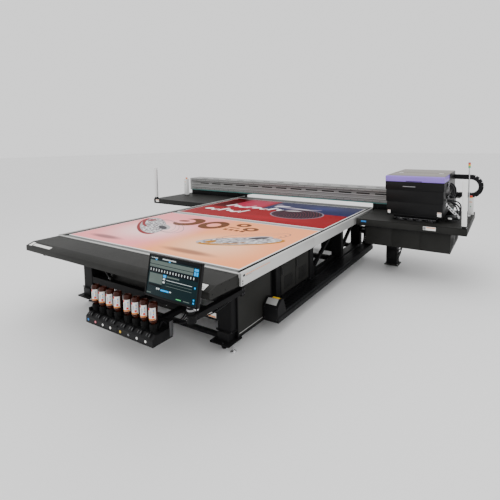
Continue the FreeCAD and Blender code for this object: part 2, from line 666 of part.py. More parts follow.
def carriage_body():
    """Print carriage casing in three stepped bands, hooked over the beam at the back."""
    back = BEAM_FRONT - 40.0
    bands = []
    for k in range(3):
        inset = 8.0 * (2 - k)
        bands.append(box(CARRIAGE_LEFT + inset, CARRIAGE_RIGHT - inset, CARRIAGE_FRONT + inset, back,
                         BAND_Z[k], BAND_Z[k + 1]))
    outer = join(bands)
    upper = box(CARRIAGE_LEFT + 16, CARRIAGE_RIGHT - 16, CARRIAGE_FRONT + 16, back - 8, HEAD_TOP + 90, 1306)
    well = box(HEAD_X[0] - 5, HEAD_X[1] + 5, HEAD_Y[0] - 5, HEAD_Y[1] + 5, SKIRT_Z - 1, HEAD_TOP + 70)
    hook = [(SEAM_Y + 3, 1318), (SEAM_Y + 3, 1398), (3560, REAR_TOP), (3572, REAR_TOP - 12), (3572, 1152),
            (back, 1152), (back, 1318)]
    cover = prism_x(hook, CARRIAGE_LEFT, CARRIAGE_RIGHT)
    hollow = box(CARRIAGE_LEFT + 8, CARRIAGE_RIGHT - 8, back + 8, 3564, 1162, 1388)
    shoes = []
    for z in BEAM_RAIL_Z:
        for x in (CARRIAGE_LEFT + 60, CARRIAGE_RIGHT - 200):
            shoe = box(x, x + 140, back, BEAM_FRONT - 3, z - 26, z + 26)
            slot = box(x - 1, x + 141, BEAM_FRONT - 22 - GAP, BEAM_FRONT, z - 11 - GAP, z + 11 + GAP)
            shoes.append(shoe.cut(slot))
    body = outer.cut(upper).cut(well)
    return join([body, cover.cut(hollow)] + shoes)


def carriage_lid():
    """Hinged front lid over the carriage, hollow underneath."""
    outline = [(CARRIAGE_FRONT, 1320), (CARRIAGE_FRONT, 1380), (CARRIAGE_FRONT + 14, 1390),
               (SEAM_Y, 1398), (SEAM_Y, 1320)]
    outer = prism_x(outline, CARRIAGE_LEFT, CARRIAGE_RIGHT)
    inner = box(CARRIAGE_LEFT + 6, CARRIAGE_RIGHT - 6, CARRIAGE_FRONT + 6, SEAM_Y - 6, 1310, 1380)
    return outer.cut(inner)


def head_unit():
    """Print head block with its nozzle plates and the two curing lamps, free to rise."""
    x0, x1 = HEAD_X
    y0, y1 = HEAD_Y
    block = casing(x0, x1, y0, y1, HEAD_BOTTOM + 12, HEAD_TOP, TUBE_WALL)
    plates = []
    for k in range(4):
        x = x0 + 100 + 90 * k
        plates.append(box(x, x + 66, y0 + 70, y1 - 120, HEAD_BOTTOM, HEAD_BOTTOM + 12))
    lamps = [box(x, x + 60, y0 + 40, y1 - 90, HEAD_BOTTOM + 4, HEAD_BOTTOM + 12) for x in (x0 + 12, x1 - 72)]
    return join([block] + plates + lamps)


def carriage_hoses():
    """Bowed hose and its slanted slotted bracket on the right face of the carriage."""
    x = CARRIAGE_RIGHT
    y = 2890.0
    flange = box(x, x + 10, y - 130, y + 60, 1240, 1300)
    low = box(x, x + 10, y - 130, y + 60, 1080, 1130)
    a = (x + 10, y - 60, 1270)
    b = (x + 10, y - 60, 1105)
    hose = pipe([(a, (x + 75, y - 60, 1187.5), b)], 16)
    a = (x + 10, y - 5, 1285)
    b = (x + 10, y - 5, 1090)
    second = pipe([(a, (x + 92, y - 5, 1187.5), b)], 14)
    return group([join([flange, hose, low, second])])


def x_chain_lower_run():
    """Lower run of the carriage chain, on the ledge behind the beam."""
    return box(XCHAIN_START, XCHAIN_TURN, XCHAIN_Y0, XCHAIN_Y1, XCHAIN_BOTTOM, XCHAIN_BOTTOM + XCHAIN_THICK)


def x_chain_loop():
    """Travelling half turn of the carriage chain."""
    centre = vec(XCHAIN_TURN, XCHAIN_Y0, XCHAIN_BOTTOM + XCHAIN_RADIUS)
    ring = chain_bend(centre, XCHAIN_RADIUS, XCHAIN_THICK, vec(0, 1, 0), XCHAIN_Y1 - XCHAIN_Y0)
    keep = box(XCHAIN_TURN, XCHAIN_TURN + 400, XCHAIN_Y0 - 10, XCHAIN_Y1 + 10, 900, 1500)
    return ring.common(keep)


def x_chain_upper_run():
    """Upper run of the carriage chain, from its half turn to the carriage."""
    top = XCHAIN_BOTTOM + 2 * XCHAIN_RADIUS
    return box(CARRIAGE_RIGHT, XCHAIN_TURN, XCHAIN_Y0, XCHAIN_Y1, top - XCHAIN_THICK, top)


def all_nodes():
    """Every sub-part by its node name."""
    nodes = {
        "base_frame": base_frame(), "frame_posts": frame_posts(),
        "levelling_feet": levelling_feet(), "table_beams": table_beams(), "vacuum_bed": vacuum_bed(),
        "media_boards": media_boards(), "edge_covers": edge_covers(), "front_apron": front_apron(),
        "apron_supports": apron_supports(), "cover_panels": cover_panels(), "air_hoses": air_hoses(),
        "under_bed_units": under_bed_units(), "chain_tray": chain_tray(), "linear_rails": linear_rails(),
        "y_chain_lower_run": y_chain_lower_run(), "y_chain_loop": y_chain_loop(),
        "y_chain_upper_run": y_chain_upper_run(), "ink_tray": ink_tray(),
        "bottle_sockets": bottle_sockets(), "valve_manifold": valve_manifold(),
        "monitor_bracket": monitor_bracket(), "monitor_arm": monitor_arm(), "monitor": monitor(),
        "gantry_beam": gantry_beam(), "gantry_uprights": gantry_uprights(),
        "station_deck": station_deck(), "cap_unit": cap_unit(), "station_body": station_body(),
        "left_shelf": left_shelf(), "sensor_pillars": sensor_pillars(), "control_boxes": control_boxes(),
        "stop_button_left": stop_button(STOP_LEFT, STOP_LEFT_Z),
        "stop_button_right": stop_button(STOP_RIGHT, STOP_RIGHT_Z), "tower_light": tower_light(),
        "carriage_body": carriage_body(), "carriage_lid": carriage_lid(), "head_unit": head_unit(),
        "carriage_hoses": carriage_hoses(), "x_chain_lower_run": x_chain_lower_run(),
        "x_chain_loop": x_chain_loop(), "x_chain_upper_run": x_chain_upper_run(),
    }
    corners = [(side, y) for y in CASTER_ROWS for side in (-1, 1)]
    for number, (side, y) in enumerate(corners, 1):
        nodes["caster_fork_%d" % number] = caster_fork(side, y)
        nodes["caster_wheel_%d" % number] = caster_wheel(side, y)
    for number, x in enumerate(bottle_places(), 1):
        nodes["ink_bottle_%d" % number] = ink_bottle(x)
    for number, x in enumerate(VALVE_X, 1):
        nodes["valve_lever_%d" % number] = valve_lever(x)
    return nodes


def main():
    """Moves every node so that the footprint's middle is the origin, and writes it."""
    os.makedirs("parts", exist_ok=True)
    nodes = all_nodes()
    bounds = Part.makeCompound(list(nodes.values())).BoundBox
    shift = vec(-(bounds.XMin + bounds.XMax) / 2, -(bounds.YMin + bounds.YMax) / 2, -bounds.ZMin)
    print("nodes", len(nodes), "shift", shift, "size", bounds.XLength, bounds.YLength, bounds.ZLength)
    for name, shape in nodes.items():
        shape.translate(shift)
        if not shape.isValid():
            print("not valid:", name)
        shape.exportStep("parts/%s.step" % name)


main()
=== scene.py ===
import math

import bpy
import numpy as np
from bpy.props import FloatProperty, FloatVectorProperty, IntProperty, PointerProperty
from bpy.types import Operator, Panel, PropertyGroup
from mathutils import Matrix, Vector


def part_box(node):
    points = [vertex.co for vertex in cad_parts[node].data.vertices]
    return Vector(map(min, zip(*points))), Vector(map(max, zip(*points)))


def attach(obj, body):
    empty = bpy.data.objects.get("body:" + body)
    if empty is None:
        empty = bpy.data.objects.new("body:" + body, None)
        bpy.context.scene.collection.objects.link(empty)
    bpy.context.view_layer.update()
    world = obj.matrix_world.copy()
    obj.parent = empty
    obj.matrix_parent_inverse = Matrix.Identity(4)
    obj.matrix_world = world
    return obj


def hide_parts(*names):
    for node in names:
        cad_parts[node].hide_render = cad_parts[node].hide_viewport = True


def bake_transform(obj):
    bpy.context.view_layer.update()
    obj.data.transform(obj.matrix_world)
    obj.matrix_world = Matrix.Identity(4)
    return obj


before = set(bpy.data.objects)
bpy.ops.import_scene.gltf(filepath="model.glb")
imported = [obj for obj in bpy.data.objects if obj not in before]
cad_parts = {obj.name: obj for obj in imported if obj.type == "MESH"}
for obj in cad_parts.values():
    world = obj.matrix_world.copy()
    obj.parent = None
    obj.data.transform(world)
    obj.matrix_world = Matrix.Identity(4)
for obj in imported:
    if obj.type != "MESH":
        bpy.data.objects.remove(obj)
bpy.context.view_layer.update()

bl_info = {
    "name": "Flatbed UV Printer",
    "version": (1, 0, 0),
    "blender": (4, 5, 0),
    "location": "3D View > Sidebar > Printer",
    "description": "Builds the looks of a flatbed UV printer around its packed frame",
    "category": "Object",
}

# ---- places read from the frame ----
BOARDS_LOW, BOARDS_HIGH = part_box("media_boards")
MID_X = (BOARDS_LOW.x + BOARDS_HIGH.x) / 2
FRONT_Y = BOARDS_LOW.y


def at(x, y, z):
    """Frame point in metres of a place in millimetres: x from the table's middle line to the right,
    y from the front board's front edge to the back, z from the floor."""
    return np.array([MID_X + x / 1000, FRONT_Y + y / 1000, z / 1000])


# ---- settings ----
def colour(name, description, default):
    """A colour property."""
    return FloatVectorProperty(name=name, description=description, default=default, size=3,
                               subtype="COLOR", min=0, max=1)


def length(name, description, default):
    """A length property in metres."""
    return FloatProperty(name=name, description=description, default=default, min=0,
                         subtype="DISTANCE", unit="LENGTH")


def count(name, description, default):
    """A whole number property."""
    return IntProperty(name=name, description=description, default=default, min=1)


class PRINTER_PG_paint(PropertyGroup):
    """Colours of the printer's finishes."""
    frame_black: colour("Frame black", "Powder coat of the frame", (0.0075, 0.0075, 0.008))
    panel_grey: colour("Panel grey", "Textured paint of covers and decks", (0.0185, 0.0185, 0.0172))
    moulded: colour("Moulded black", "Plastic casings", (0.009, 0.009, 0.0095))
    silver: colour("Silver", "Anodised side covers and beam", (0.50, 0.50, 0.49))
    slab: colour("Slab grey", "Suction table top", (0.115, 0.12, 0.115))
    lavender: colour("Lavender", "Carriage lid", (0.24, 0.15, 0.56))
    rear_cover: colour("Rear cover", "Warm grey of the rear carriage cover", (0.17, 0.15, 0.13))
    ink_brown: colour("Ink brown", "Bottle plastic", (0.036, 0.008, 0.004))
    white: colour("White", "Switch boxes and pillars", (0.78, 0.78, 0.77))
    red: colour("Red", "Stop buttons and valve levers", (0.62, 0.015, 0.012))


class PRINTER_PG_art(PropertyGroup):
    """Colours of the two generic test prints."""
    pink: colour("Pink", "Left half of the front print", (1.0, 0.31, 0.33))
    glow: colour("Glow", "Light middle of the pink half", (1.0, 0.76, 0.74))
    peach: colour("Peach", "Right half of the front print", (1.0, 0.36, 0.15))
    pale_peach: colour("Pale peach", "Light middle of the peach half", (1.0, 0.64, 0.42))
    gold: colour("Gold", "Brown-gold ornaments", (0.12, 0.032, 0.001))
    crimson: colour("Crimson", "Ground of the rear print", (0.24, 0.0, 0.004))
    slate: colour("Slate", "Blue field of the rear print", (0.011, 0.014, 0.070))


class PRINTER_PG_detail(PropertyGroup):
    """Sizes of small repeated details."""
    chain_pitch: length("Chain pitch", "Length of one cable chain link", 0.055)
    slot_count: count("Beam slots", "Dark slots along the beam's front", 15)
    board_rim: length("Board rim", "Unprinted white rim of a board", 0.012)


class PRINTER_PG_studio(PropertyGroup):
    """Camera and light."""
    lens: FloatProperty(name="Lens", description="Focal length", default=26.25, unit="CAMERA")
    floor: colour("Floor", "Studio floor", (0.90, 0.90, 0.90))


# ---- shapes worked out with numpy ----
def loft(rings, wrap=False):
    """Closed surface through equal rings of points. The mesh is (points, faces): quads join each
    ring to the next, and each end ring is one flat cap, or the last ring joins the first."""
    rings = np.asarray(rings, float)
    rows, around = rings.shape[:2]
    index = np.arange(rows * around).reshape(rows, around)
    low = index if wrap else index[:-1]
    high = np.roll(index, -1, 0) if wrap else index[1:]
    quads = np.stack([low, np.roll(low, -1, 1), np.roll(high, -1, 1), high], -1).reshape(-1, 4)
    faces = quads.tolist()
    if not wrap:
        faces += [index[0][::-1].tolist(), index[-1].tolist()]
    return rings.reshape(-1, 3), faces


def merge(*meshes):
    """Several meshes in one, with each one's indices moved up by the points before it."""
    points, faces, base = [], [], 0
    for some, theirs in meshes:
        points.append(some)
        faces += [[base + i for i in face] for face in theirs]
        base += len(some)
    return np.concatenate(points), faces


def copies(mesh, offsets):
    """The mesh once at each offset: every point plus every offset."""
    points, faces = mesh
    offsets = np.asarray(offsets, float)
    made = [[i + k * len(points) for i in face] for k in range(len(offsets)) for face in faces]
    return (offsets[:, None, :] + points[None]).reshape(-1, 3), made


def moved(mesh, offset):
    """The mesh carried by an offset."""
    return mesh[0] + np.asarray(offset, float), mesh[1]


def turned(mesh, axis, degrees, about=(0, 0, 0)):
    """The mesh turned about an axis through a point, by the rotation matrix of that axis and angle."""
    spin = np.array(Matrix.Rotation(math.radians(degrees), 3, Vector(axis)))
    about = np.asarray(about, float)
    return (mesh[0] - about) @ spin.T + about, mesh[1]


def mirrored(mesh):
    """The mesh reflected across the table's middle plane, with its faces turned to point out again."""
    points = mesh[0].copy()
    points[:, 0] = 2 * MID_X - points[:, 0]
    return points, [face[::-1] for face in mesh[1]]


def rounded_outline(width, height, radius, steps=4):
    """Rectangle with round corners: quarter circles of that radius about the four inner corners."""
    radius = min(radius, 0.499 * width, 0.499 * height)
    angle = (np.arange(4)[:, None] * 90 + np.linspace(0, 90, steps)[None]) * math.pi / 180
    sign = np.array([[1, 1], [-1, 1], [-1, -1], [1, -1]])
    centre = sign * (np.array([width, height]) / 2 - radius)
    circle = np.stack([np.cos(angle), np.sin(angle)], -1) * radius
    return (centre[:, None] + circle).reshape(-1, 2)


AXES = {"x": (1, 2, 0), "y": (2, 0, 1), "z": (0, 1, 2)}


def placed(flat, depth, axis):
    """Points of an outline at a depth along an axis, in X, Y, Z order."""
    u, v, w = AXES[axis]
    made = np.empty((len(flat), 3))
    made[:, u] = flat[:, 0]
    made[:, v] = flat[:, 1]
    made[:, w] = depth
    return made


def block(low, high, radius=0.003, axis="z", steps=3):
    """Box with rounded edges: its rounded outline is carried along one axis, and near each end it
    draws in by r(1 - cos t) while it moves by r sin t."""
    low, high = np.asarray(low, float), np.asarray(high, float)
    u, v, w = AXES[axis]
    size = high - low
    radius = min(radius, 0.45 * size.min())
    middle = np.array([(low + high)[u] / 2, (low + high)[v] / 2])
    turn = np.linspace(0, math.pi / 2, steps)
    draw = radius * (1 - np.sin(turn))
    rise = radius * (1 - np.cos(turn))
    stations = [(low[w] + r, d) for r, d in zip(rise, draw)]
    stations += [(high[w] - r, d) for r, d in zip(rise[::-1], draw[::-1])]
    rings = []
    for depth, inset in stations:
        corner = max(radius - inset, 0.0002)
        flat = rounded_outline(size[u] - 2 * inset, size[v] - 2 * inset, corner, steps) + middle
        rings.append(placed(flat, depth, axis))
    return loft(rings)


def extrude(outline, start, stop, axis, edge=0.0):
    """Outline carried straight along an axis; with an edge, both ends draw in to its middle a little."""
    outline = np.asarray(outline, float)
    if not edge:
        return loft([placed(outline, start, axis), placed(outline, stop, axis)])
    middle = outline.mean(0)
    reach = np.abs(outline - middle).max()
    small = middle + (outline - middle) * (1 - edge / reach)
    ends = [(small, start), (outline, start + edge), (outline, stop - edge), (small, stop)]
    return loft([placed(flat, depth, axis) for flat, depth in ends])


def lathe(profile, centre, axis="z", around=32):
    """Surface of revolution: each (radius, height) of the profile turned about an axis."""
    profile = np.asarray(profile, float)
    angle = np.linspace(0, 2 * math.pi, around, endpoint=False)
    rings = []
    for radius, depth in profile:
        flat = np.stack([np.cos(angle), np.sin(angle)], -1) * max(radius, 0.0002)
        rings.append(placed(flat, depth, axis))
    return moved(loft(rings), centre)


ASKEW = (0.31, 0.17, 0.93)


def tube(points, radius, around=14):
    """Round tube: circles set square to the path's direction, their axes carried along it. The first
    axis is square to the path and to a skew direction that no path here starts along."""
    points = np.asarray(points, float)
    ahead = np.gradient(points, axis=0)
    ahead /= np.linalg.norm(ahead, axis=1)[:, None]
    side = np.cross(ahead[0], ASKEW)
    rings = []
    angle = np.linspace(0, 2 * math.pi, around, endpoint=False)
    for point, forward in zip(points, ahead):
        side = side - forward * (side @ forward)
        side /= np.linalg.norm(side)
        up = np.cross(forward, side)
        rings.append(point + radius * (np.cos(angle)[:, None] * side + np.sin(angle)[:, None] * up))
    return loft(rings)


def bow(start, stop, bulge, steps=24):
    """Points of a half-wave bow: a straight line from start to stop plus bulge times sin(pi t)."""
    t = np.linspace(0, 1, steps)[:, None]
    start, stop, bulge = (np.asarray(p, float) for p in (start, stop, bulge))
    return start + (stop - start) * t + bulge * np.sin(math.pi * t)


def volume(mesh):
    """Signed volume of a closed mesh: the sum over faces of each fan triangle's triple product / 6."""
    points, faces = mesh
    total = 0.0
    for face in faces:
        corners = points[face]
        total += np.einsum("ij,ij->i", np.cross(corners[1:-1], corners[2:]),
                           np.broadcast_to(corners[0], corners[2:].shape)).sum()
    return total / 6


def outward(mesh):
    """The mesh with its faces pointing outwards, told by the sign of its volume."""
    if volume(mesh) < 0:
        return mesh[0], [face[::-1] for face in mesh[1]]
    return mesh


def box(x0, x1, y0, y1, z0, z1, radius=3.0, axis="z", steps=3):
    """Rounded block between two places in millimetres."""
    return block(at(x0, y0, z0), at(x1, y1, z1), radius / 1000, axis, steps)


def prism(outline, start, stop, axis, edge=0.8):
    """Outline in millimetres carried along an axis. Its two numbers are (y, z) along x, (z, x) along
    y and (x, y) along z."""
    u, v, w = AXES[axis]
    base = at(0, 0, 0)
    flat = np.asarray(outline, float) / 1000 + [base[u], base[v]]
    return extrude(flat, base[w] + start / 1000, base[w] + stop / 1000, axis, edge / 1000)


def turned_part(profile, x, y, z, axis="z", around=32):
    """Turned part: its (radius, height) profile in millimetres revolved about an axis at a place."""
    return lathe(np.asarray(profile, float) / 1000, at(x, y, z), axis, around)


def studs(places, axis, radius=8.0, height=5.0, way=1, around=12):
    """Domed bolt heads at places: radius r up to 0.6 h, then drawn in to half r at h."""
    profile = np.array([(radius, -1.0), (radius, 0.6 * height), (0.85 * radius, 0.9 * height),
                        (0.5 * radius, height)]) / 1000
    profile[:, 1] *= way
    offsets = np.array([at(*place) for place in places])
    return copies(lathe(profile, (0, 0, 0), axis, around), offsets)


def hose(points, radius, around=14):
    """Round hose through a path in millimetres."""
    return tube(np.array([at(*p) for p in points]), radius / 1000, around)


def bowed(start, stop, bulge, radius, steps=24, around=14):
    """Round hose on a half-wave bow between two places in millimetres."""
    path = bow(at(*start), at(*stop), np.asarray(bulge, float) / 1000, steps)
    return tube(path, radius / 1000, around)


class Parts(list):
    """Closed meshes of one piece, each with its finish."""

    def put(self, look, *meshes):
        """Adds meshes with one finish."""
        self.extend((mesh, look) for mesh in meshes)

    def box(self, look, *place):
        """Adds a rounded block."""
        self.put(look, box(*place))

    def pair(self, look, mesh):
        """Adds a mesh and its reflection."""
        self.put(look, mesh, mirrored(mesh))

    def mirror(self):
        """Adds the reflection of everything so far."""
        self.extend([(mirrored(mesh), look) for mesh, look in self])


def dress(name, body, parts, replaces=(), sharp=38.0):
    """Makes one piece from closed meshes and their finishes, rides it on its body, if it has one body only,
    and hides the frame nodes it replaces."""
    order = []
    for _, look in parts:
        if look not in order:
            order.append(look)
    meshes = [outward(mesh) for mesh, _ in parts]
    points, faces = merge(*meshes)
    looks = [order.index(look) for (_, look), mesh in zip(parts, meshes) for _ in mesh[1]]
    data = bpy.data.meshes.new(name)
    data.from_pydata(points.tolist(), [], faces)
    data.polygons.foreach_set("use_smooth", [True] * len(faces))
    for look in order:
        data.materials.append(finish(look))
    data.polygons.foreach_set("material_index", looks)
    data.set_sharp_from_angle(angle=math.radians(sharp))
    data.update()
    piece = bpy.data.objects.new(name, data)
    bpy.context.scene.collection.objects.link(piece)
    if body:
        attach(piece, body)
    if replaces:
        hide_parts(*replaces)
    return piece


# ---- finishes ----
class Nodes:
    """Short way to write a material's node tree."""

    def __init__(self, name):
        """A new material with only its surface shader and output."""
        self.material = bpy.data.materials.new(name)
        self.material.use_nodes = True
        self.tree = self.material.node_tree
        self.shader = self.tree.nodes["Principled BSDF"]
        self.place = self.add("ShaderNodeTexCoord").outputs["Object"]

    def add(self, kind, **settings):
        """A node with its settings."""
        node = self.tree.nodes.new(kind)
        for key, value in settings.items():
            setattr(node, key, value)
        return node

    def put(self, socket, value):
        """Links an output to a socket, or sets the socket's own value."""
        if isinstance(value, bpy.types.NodeSocket):
            self.tree.links.new(value, socket)
        elif hasattr(value, "__len__") and len(value) == 3 and len(socket.default_value) == 4:
            socket.default_value = (*value, 1)
        else:
            socket.default_value = value

    def scaled(self, scale):
        """Object coordinates stretched by a scale along each axis."""
        node = self.add("ShaderNodeMapping")
        self.put(node.inputs["Vector"], self.place)
        node.inputs["Scale"].default_value = scale
        return node.outputs["Vector"]

    def noise(self, scale, detail=3.0, vector=None, rough=0.55):
        """Noise from 0 to 1."""
        node = self.add("ShaderNodeTexNoise")
        self.put(node.inputs["Vector"], self.place if vector is None else vector)
        node.inputs["Scale"].default_value = scale
        node.inputs["Detail"].default_value = detail
        node.inputs["Roughness"].default_value = rough
        return node.outputs["Fac"]

    def spread(self, value, low, high, start=0.0, stop=1.0):
        """A value's range moved to another range."""
        node = self.add("ShaderNodeMapRange")
        for key, number in (("From Min", start), ("From Max", stop), ("To Min", low), ("To Max", high)):
            node.inputs[key].default_value = number
        self.put(node.inputs["Value"], value)
        return node.outputs["Result"]

    def math(self, kind, a, b=0.0):
        """One arithmetic step."""
        node = self.add("ShaderNodeMath", operation=kind)
        self.put(node.inputs[0], a)
        self.put(node.inputs[1], b)
        return node.outputs[0]

    def mix(self, factor, a, b):
        """Colour mix."""
        node = self.add("ShaderNodeMix", data_type="RGBA")
        self.put(node.inputs["Factor"], factor)
        self.put(node.inputs[6], a)
        self.put(node.inputs[7], b)
        return node.outputs[2]

    def split(self, vector=None):
        """X, Y and Z of the place."""
        node = self.add("ShaderNodeSeparateXYZ")
        self.put(node.inputs[0], self.place if vector is None else vector)
        return node.outputs

    def bump(self, height, strength, distance=0.001):
        """Bump from a height, linked to the shader."""
        node = self.add("ShaderNodeBump")
        node.inputs["Strength"].default_value = strength
        node.inputs["Distance"].default_value = distance
        self.put(node.inputs["Height"], height)
        self.put(self.shader.inputs["Normal"], node.outputs["Normal"])

    def base(self, value):
        """Base colour."""
        self.put(self.shader.inputs["Base Color"], value)

    def rough(self, value):
        """Roughness."""
        self.put(self.shader.inputs["Roughness"], value)

    def fixed(self, **values):
        """Plain numbers on the shader's own sockets."""
        names = {"metal": "Metallic", "specular": "Specular IOR Level"}
        for key, value in values.items():
            self.shader.inputs[names[key]].default_value = value


def tone(paint, factor):
    """A colour made lighter or darker."""
    return tuple(min(1.0, c * factor) for c in paint)


def coat(name, paint, rough=0.45, grain=420.0, bump=0.25, metal=0.0, drift=0.16, dust=0.0, streak=None,
         shine=0.3, lit=0.0):
    """Painted, moulded or anodised finish: slow colour drift, grain in bump and roughness, a little
    pale dust on faces that look up, and long streaks where the metal was drawn."""
    nodes = Nodes(name)
    slow = nodes.noise(3.1, 4.0)
    value = nodes.mix(nodes.spread(slow, 0, 1, 0.3, 0.7), tone(paint, 1 - drift), tone(paint, 1 + drift))
    if dust:
        facing = nodes.add("ShaderNodeNewGeometry").outputs["Normal"]
        up = nodes.spread(nodes.split(facing)[2], 0, dust, 0.6, 1.0)
        value = nodes.mix(nodes.math("MULTIPLY", up, nodes.noise(9.0, 5.0)), value, (0.35, 0.34, 0.33))
    nodes.base(value)
    source = nodes.scaled(streak) if streak else None
    fine = nodes.noise(grain, 2.0, source)
    nodes.rough(nodes.spread(fine, rough - 0.08, rough + 0.10))
    nodes.bump(fine, bump, 0.0006)
    nodes.fixed(metal=metal, specular=shine)
    if lit:
        nodes.shader.inputs["Emission Color"].default_value = (*paint, 1)
        nodes.shader.inputs["Emission Strength"].default_value = lit
    return nodes.material


def slab_finish(paint):
    """Suction slab: ground metal grey with a grid of small dark suction holes, 30 mm apart."""
    nodes = Nodes("SuctionSlab")
    x, y, _ = nodes.split()
    cells = []
    for axis in (x, y):
        inside = nodes.math("SUBTRACT", nodes.math("FRACT", nodes.math("DIVIDE", axis, 0.030)), 0.5)
        cells.append(nodes.math("POWER", inside, 2.0))
    far = nodes.math("SQRT", nodes.math("ADD", *cells))
    hole = nodes.spread(far, 1, 0, 0.05, 0.065)
    slow = nodes.mix(nodes.noise(3.0, 4.0), tone(paint, 0.85), tone(paint, 1.15))
    nodes.base(nodes.mix(hole, slow, (0.01, 0.01, 0.01)))
    fine = nodes.noise(140.0, 2.0)
    nodes.rough(nodes.spread(fine, 0.36, 0.52))
    nodes.bump(nodes.math("SUBTRACT", nodes.math("MULTIPLY", fine, 0.2), hole), 0.4, 0.001)
    nodes.fixed(metal=0.3, specular=0.35)
    return nodes.material


FINISHES = {}


def finish(name):
    """A named finish, made once."""
    if name in FINISHES:
        return FINISHES[name]
    p = bpy.context.scene.printer_paint
    made = {
        "frame": lambda: coat("FrameCoat", p.frame_black, 0.48, 300, 0.3, drift=0.25, dust=0.02, shine=0.07),
        "panel": lambda: coat("PanelCoat", p.panel_grey, 0.52, 520, 0.4, dust=0.02, shine=0.10),
        "moulded": lambda: coat("MouldedBlack", p.moulded, 0.42, 700, 0.2, shine=0.09),
        "carriage": lambda: coat("CarriageBlack", tone(p.moulded, 0.8), 0.36, 620, 0.12, shine=0.12),
        "bolt": lambda: coat("BoltBlack", (0.03, 0.03, 0.032), 0.30, 300, 0.1, metal=0.6, shine=0.2),
        "clip": lambda: coat("ClipGrey", (0.055, 0.056, 0.058), 0.35, 700, 0.1),
        "gloss": lambda: coat("GlossBlack", tone(p.moulded, 0.5), 0.22, 900, 0.04, shine=0.06),
        "bottle": lambda: coat("BottleBrown", p.ink_brown, 0.20, 500, 0.05, shine=0.16),
        "brass": lambda: coat("Brass", (0.55, 0.36, 0.12), 0.30, 300, 0.1, metal=1.0),
        "teal": lambda: coat("TealLine", (0.05, 0.26, 0.24), 0.35, 300, 0.05),
        "silver": lambda: coat("SilverCover", p.silver, 0.40, 60, 0.10, metal=0.35, drift=0.05,
                               streak=(9.0, 0.12, 9.0), shine=0.5),
        "beam": lambda: coat("BeamSilver", tone(p.silver, 0.47), 0.38, 60, 0.04, metal=0.30, drift=0.04,
                             streak=(0.1, 9.0, 9.0), shine=0.5),
        "slab": lambda: slab_finish(p.slab),
        "steel": lambda: coat("BrightSteel", (0.58, 0.58, 0.59), 0.24, 240, 0.1, metal=1.0, drift=0.06),
        "ground": lambda: coat("GroundSteel", (0.26, 0.26, 0.27), 0.34, 160, 0.12, metal=0.8, drift=0.08),
        "rubber": lambda: coat("Rubber", (0.007, 0.007, 0.007), 0.60, 500, 0.3, shine=0.05),
        "chain": lambda: coat("ChainPlastic", (0.008, 0.008, 0.009), 0.42, 640, 0.25, shine=0.14),
        "white": lambda: coat("WhitePlastic", p.white, 0.35, 600, 0.1, drift=0.03),
        "red": lambda: coat("RedPlastic", p.red, 0.28, 600, 0.08, drift=0.08),
        "lavender": lambda: coat("LavenderLid", p.lavender, 0.36, 520, 0.12, drift=0.04),
        "rear": lambda: coat("RearCover", p.rear_cover, 0.42, 520, 0.15, drift=0.05),
        "label": lambda: coat("LabelWhite", (0.80, 0.79, 0.77), 0.45, 300, 0.05, drift=0.03),
        "orange": lambda: coat("LabelOrange", (0.80, 0.26, 0.06), 0.45, 300, 0.05, drift=0.05),
        "amber": lambda: coat("LabelAmber", (0.62, 0.17, 0.004), 0.45, 300, 0.05, drift=0.05, shine=0.1),
        "yellow": lambda: coat("LabelYellow", (0.85, 0.52, 0.02), 0.45, 300, 0.05, drift=0.04),
        "blue": lambda: coat("LabelBlue", (0.03, 0.20, 0.55), 0.45, 300, 0.05, drift=0.05),
        "pink_dot": lambda: coat("DotPink", (0.72, 0.20, 0.24), 0.40, 300, 0.05, drift=0.05),
        "grey_dot": lambda: coat("DotGrey", (0.16, 0.16, 0.17), 0.40, 300, 0.05, drift=0.05),
        "green": lambda: coat("LampGreen", (0.03, 0.42, 0.16), 0.25, 300, 0.04, drift=0.05),
        "lens": lambda: coat("DarkLens", (0.02, 0.018, 0.03), 0.12, 300, 0.02, drift=0.05),
        "hose": lambda: coat("HoseBlack", (0.008, 0.008, 0.009), 0.34, 380, 0.2, shine=0.2),
        "ui_base": lambda: coat("ScreenGround", (0.004, 0.014, 0.017), 0.25, 300, 0.02, shine=0.05, lit=0.1),
        "ui_dark": lambda: coat("ScreenDark", (0.003, 0.005, 0.007), 0.25, 300, 0.02, shine=0.05),
        "ui_grey": lambda: coat("ScreenGrey", (0.085, 0.11, 0.10), 0.25, 300, 0.02, shine=0.06, lit=0.3),
        "ui_line": lambda: coat("ScreenLine", (0.55, 0.60, 0.60), 0.25, 300, 0.02, shine=0.06, lit=0.3),
        "ui_cyan": lambda: coat("ScreenCyan", (0.005, 0.28, 0.66), 0.25, 300, 0.02, shine=0.06, lit=0.5),
        "ui_green": lambda: coat("ScreenGreen", (0.05, 0.42, 0.12), 0.2, 300, 0.02, lit=0.4),
    }[name]()
    FINISHES[name] = made
    return made


def numbered(name, last):
    """Names with the numbers from 1 to the last."""
    return tuple("%s_%d" % (name, number) for number in range(1, last + 1))


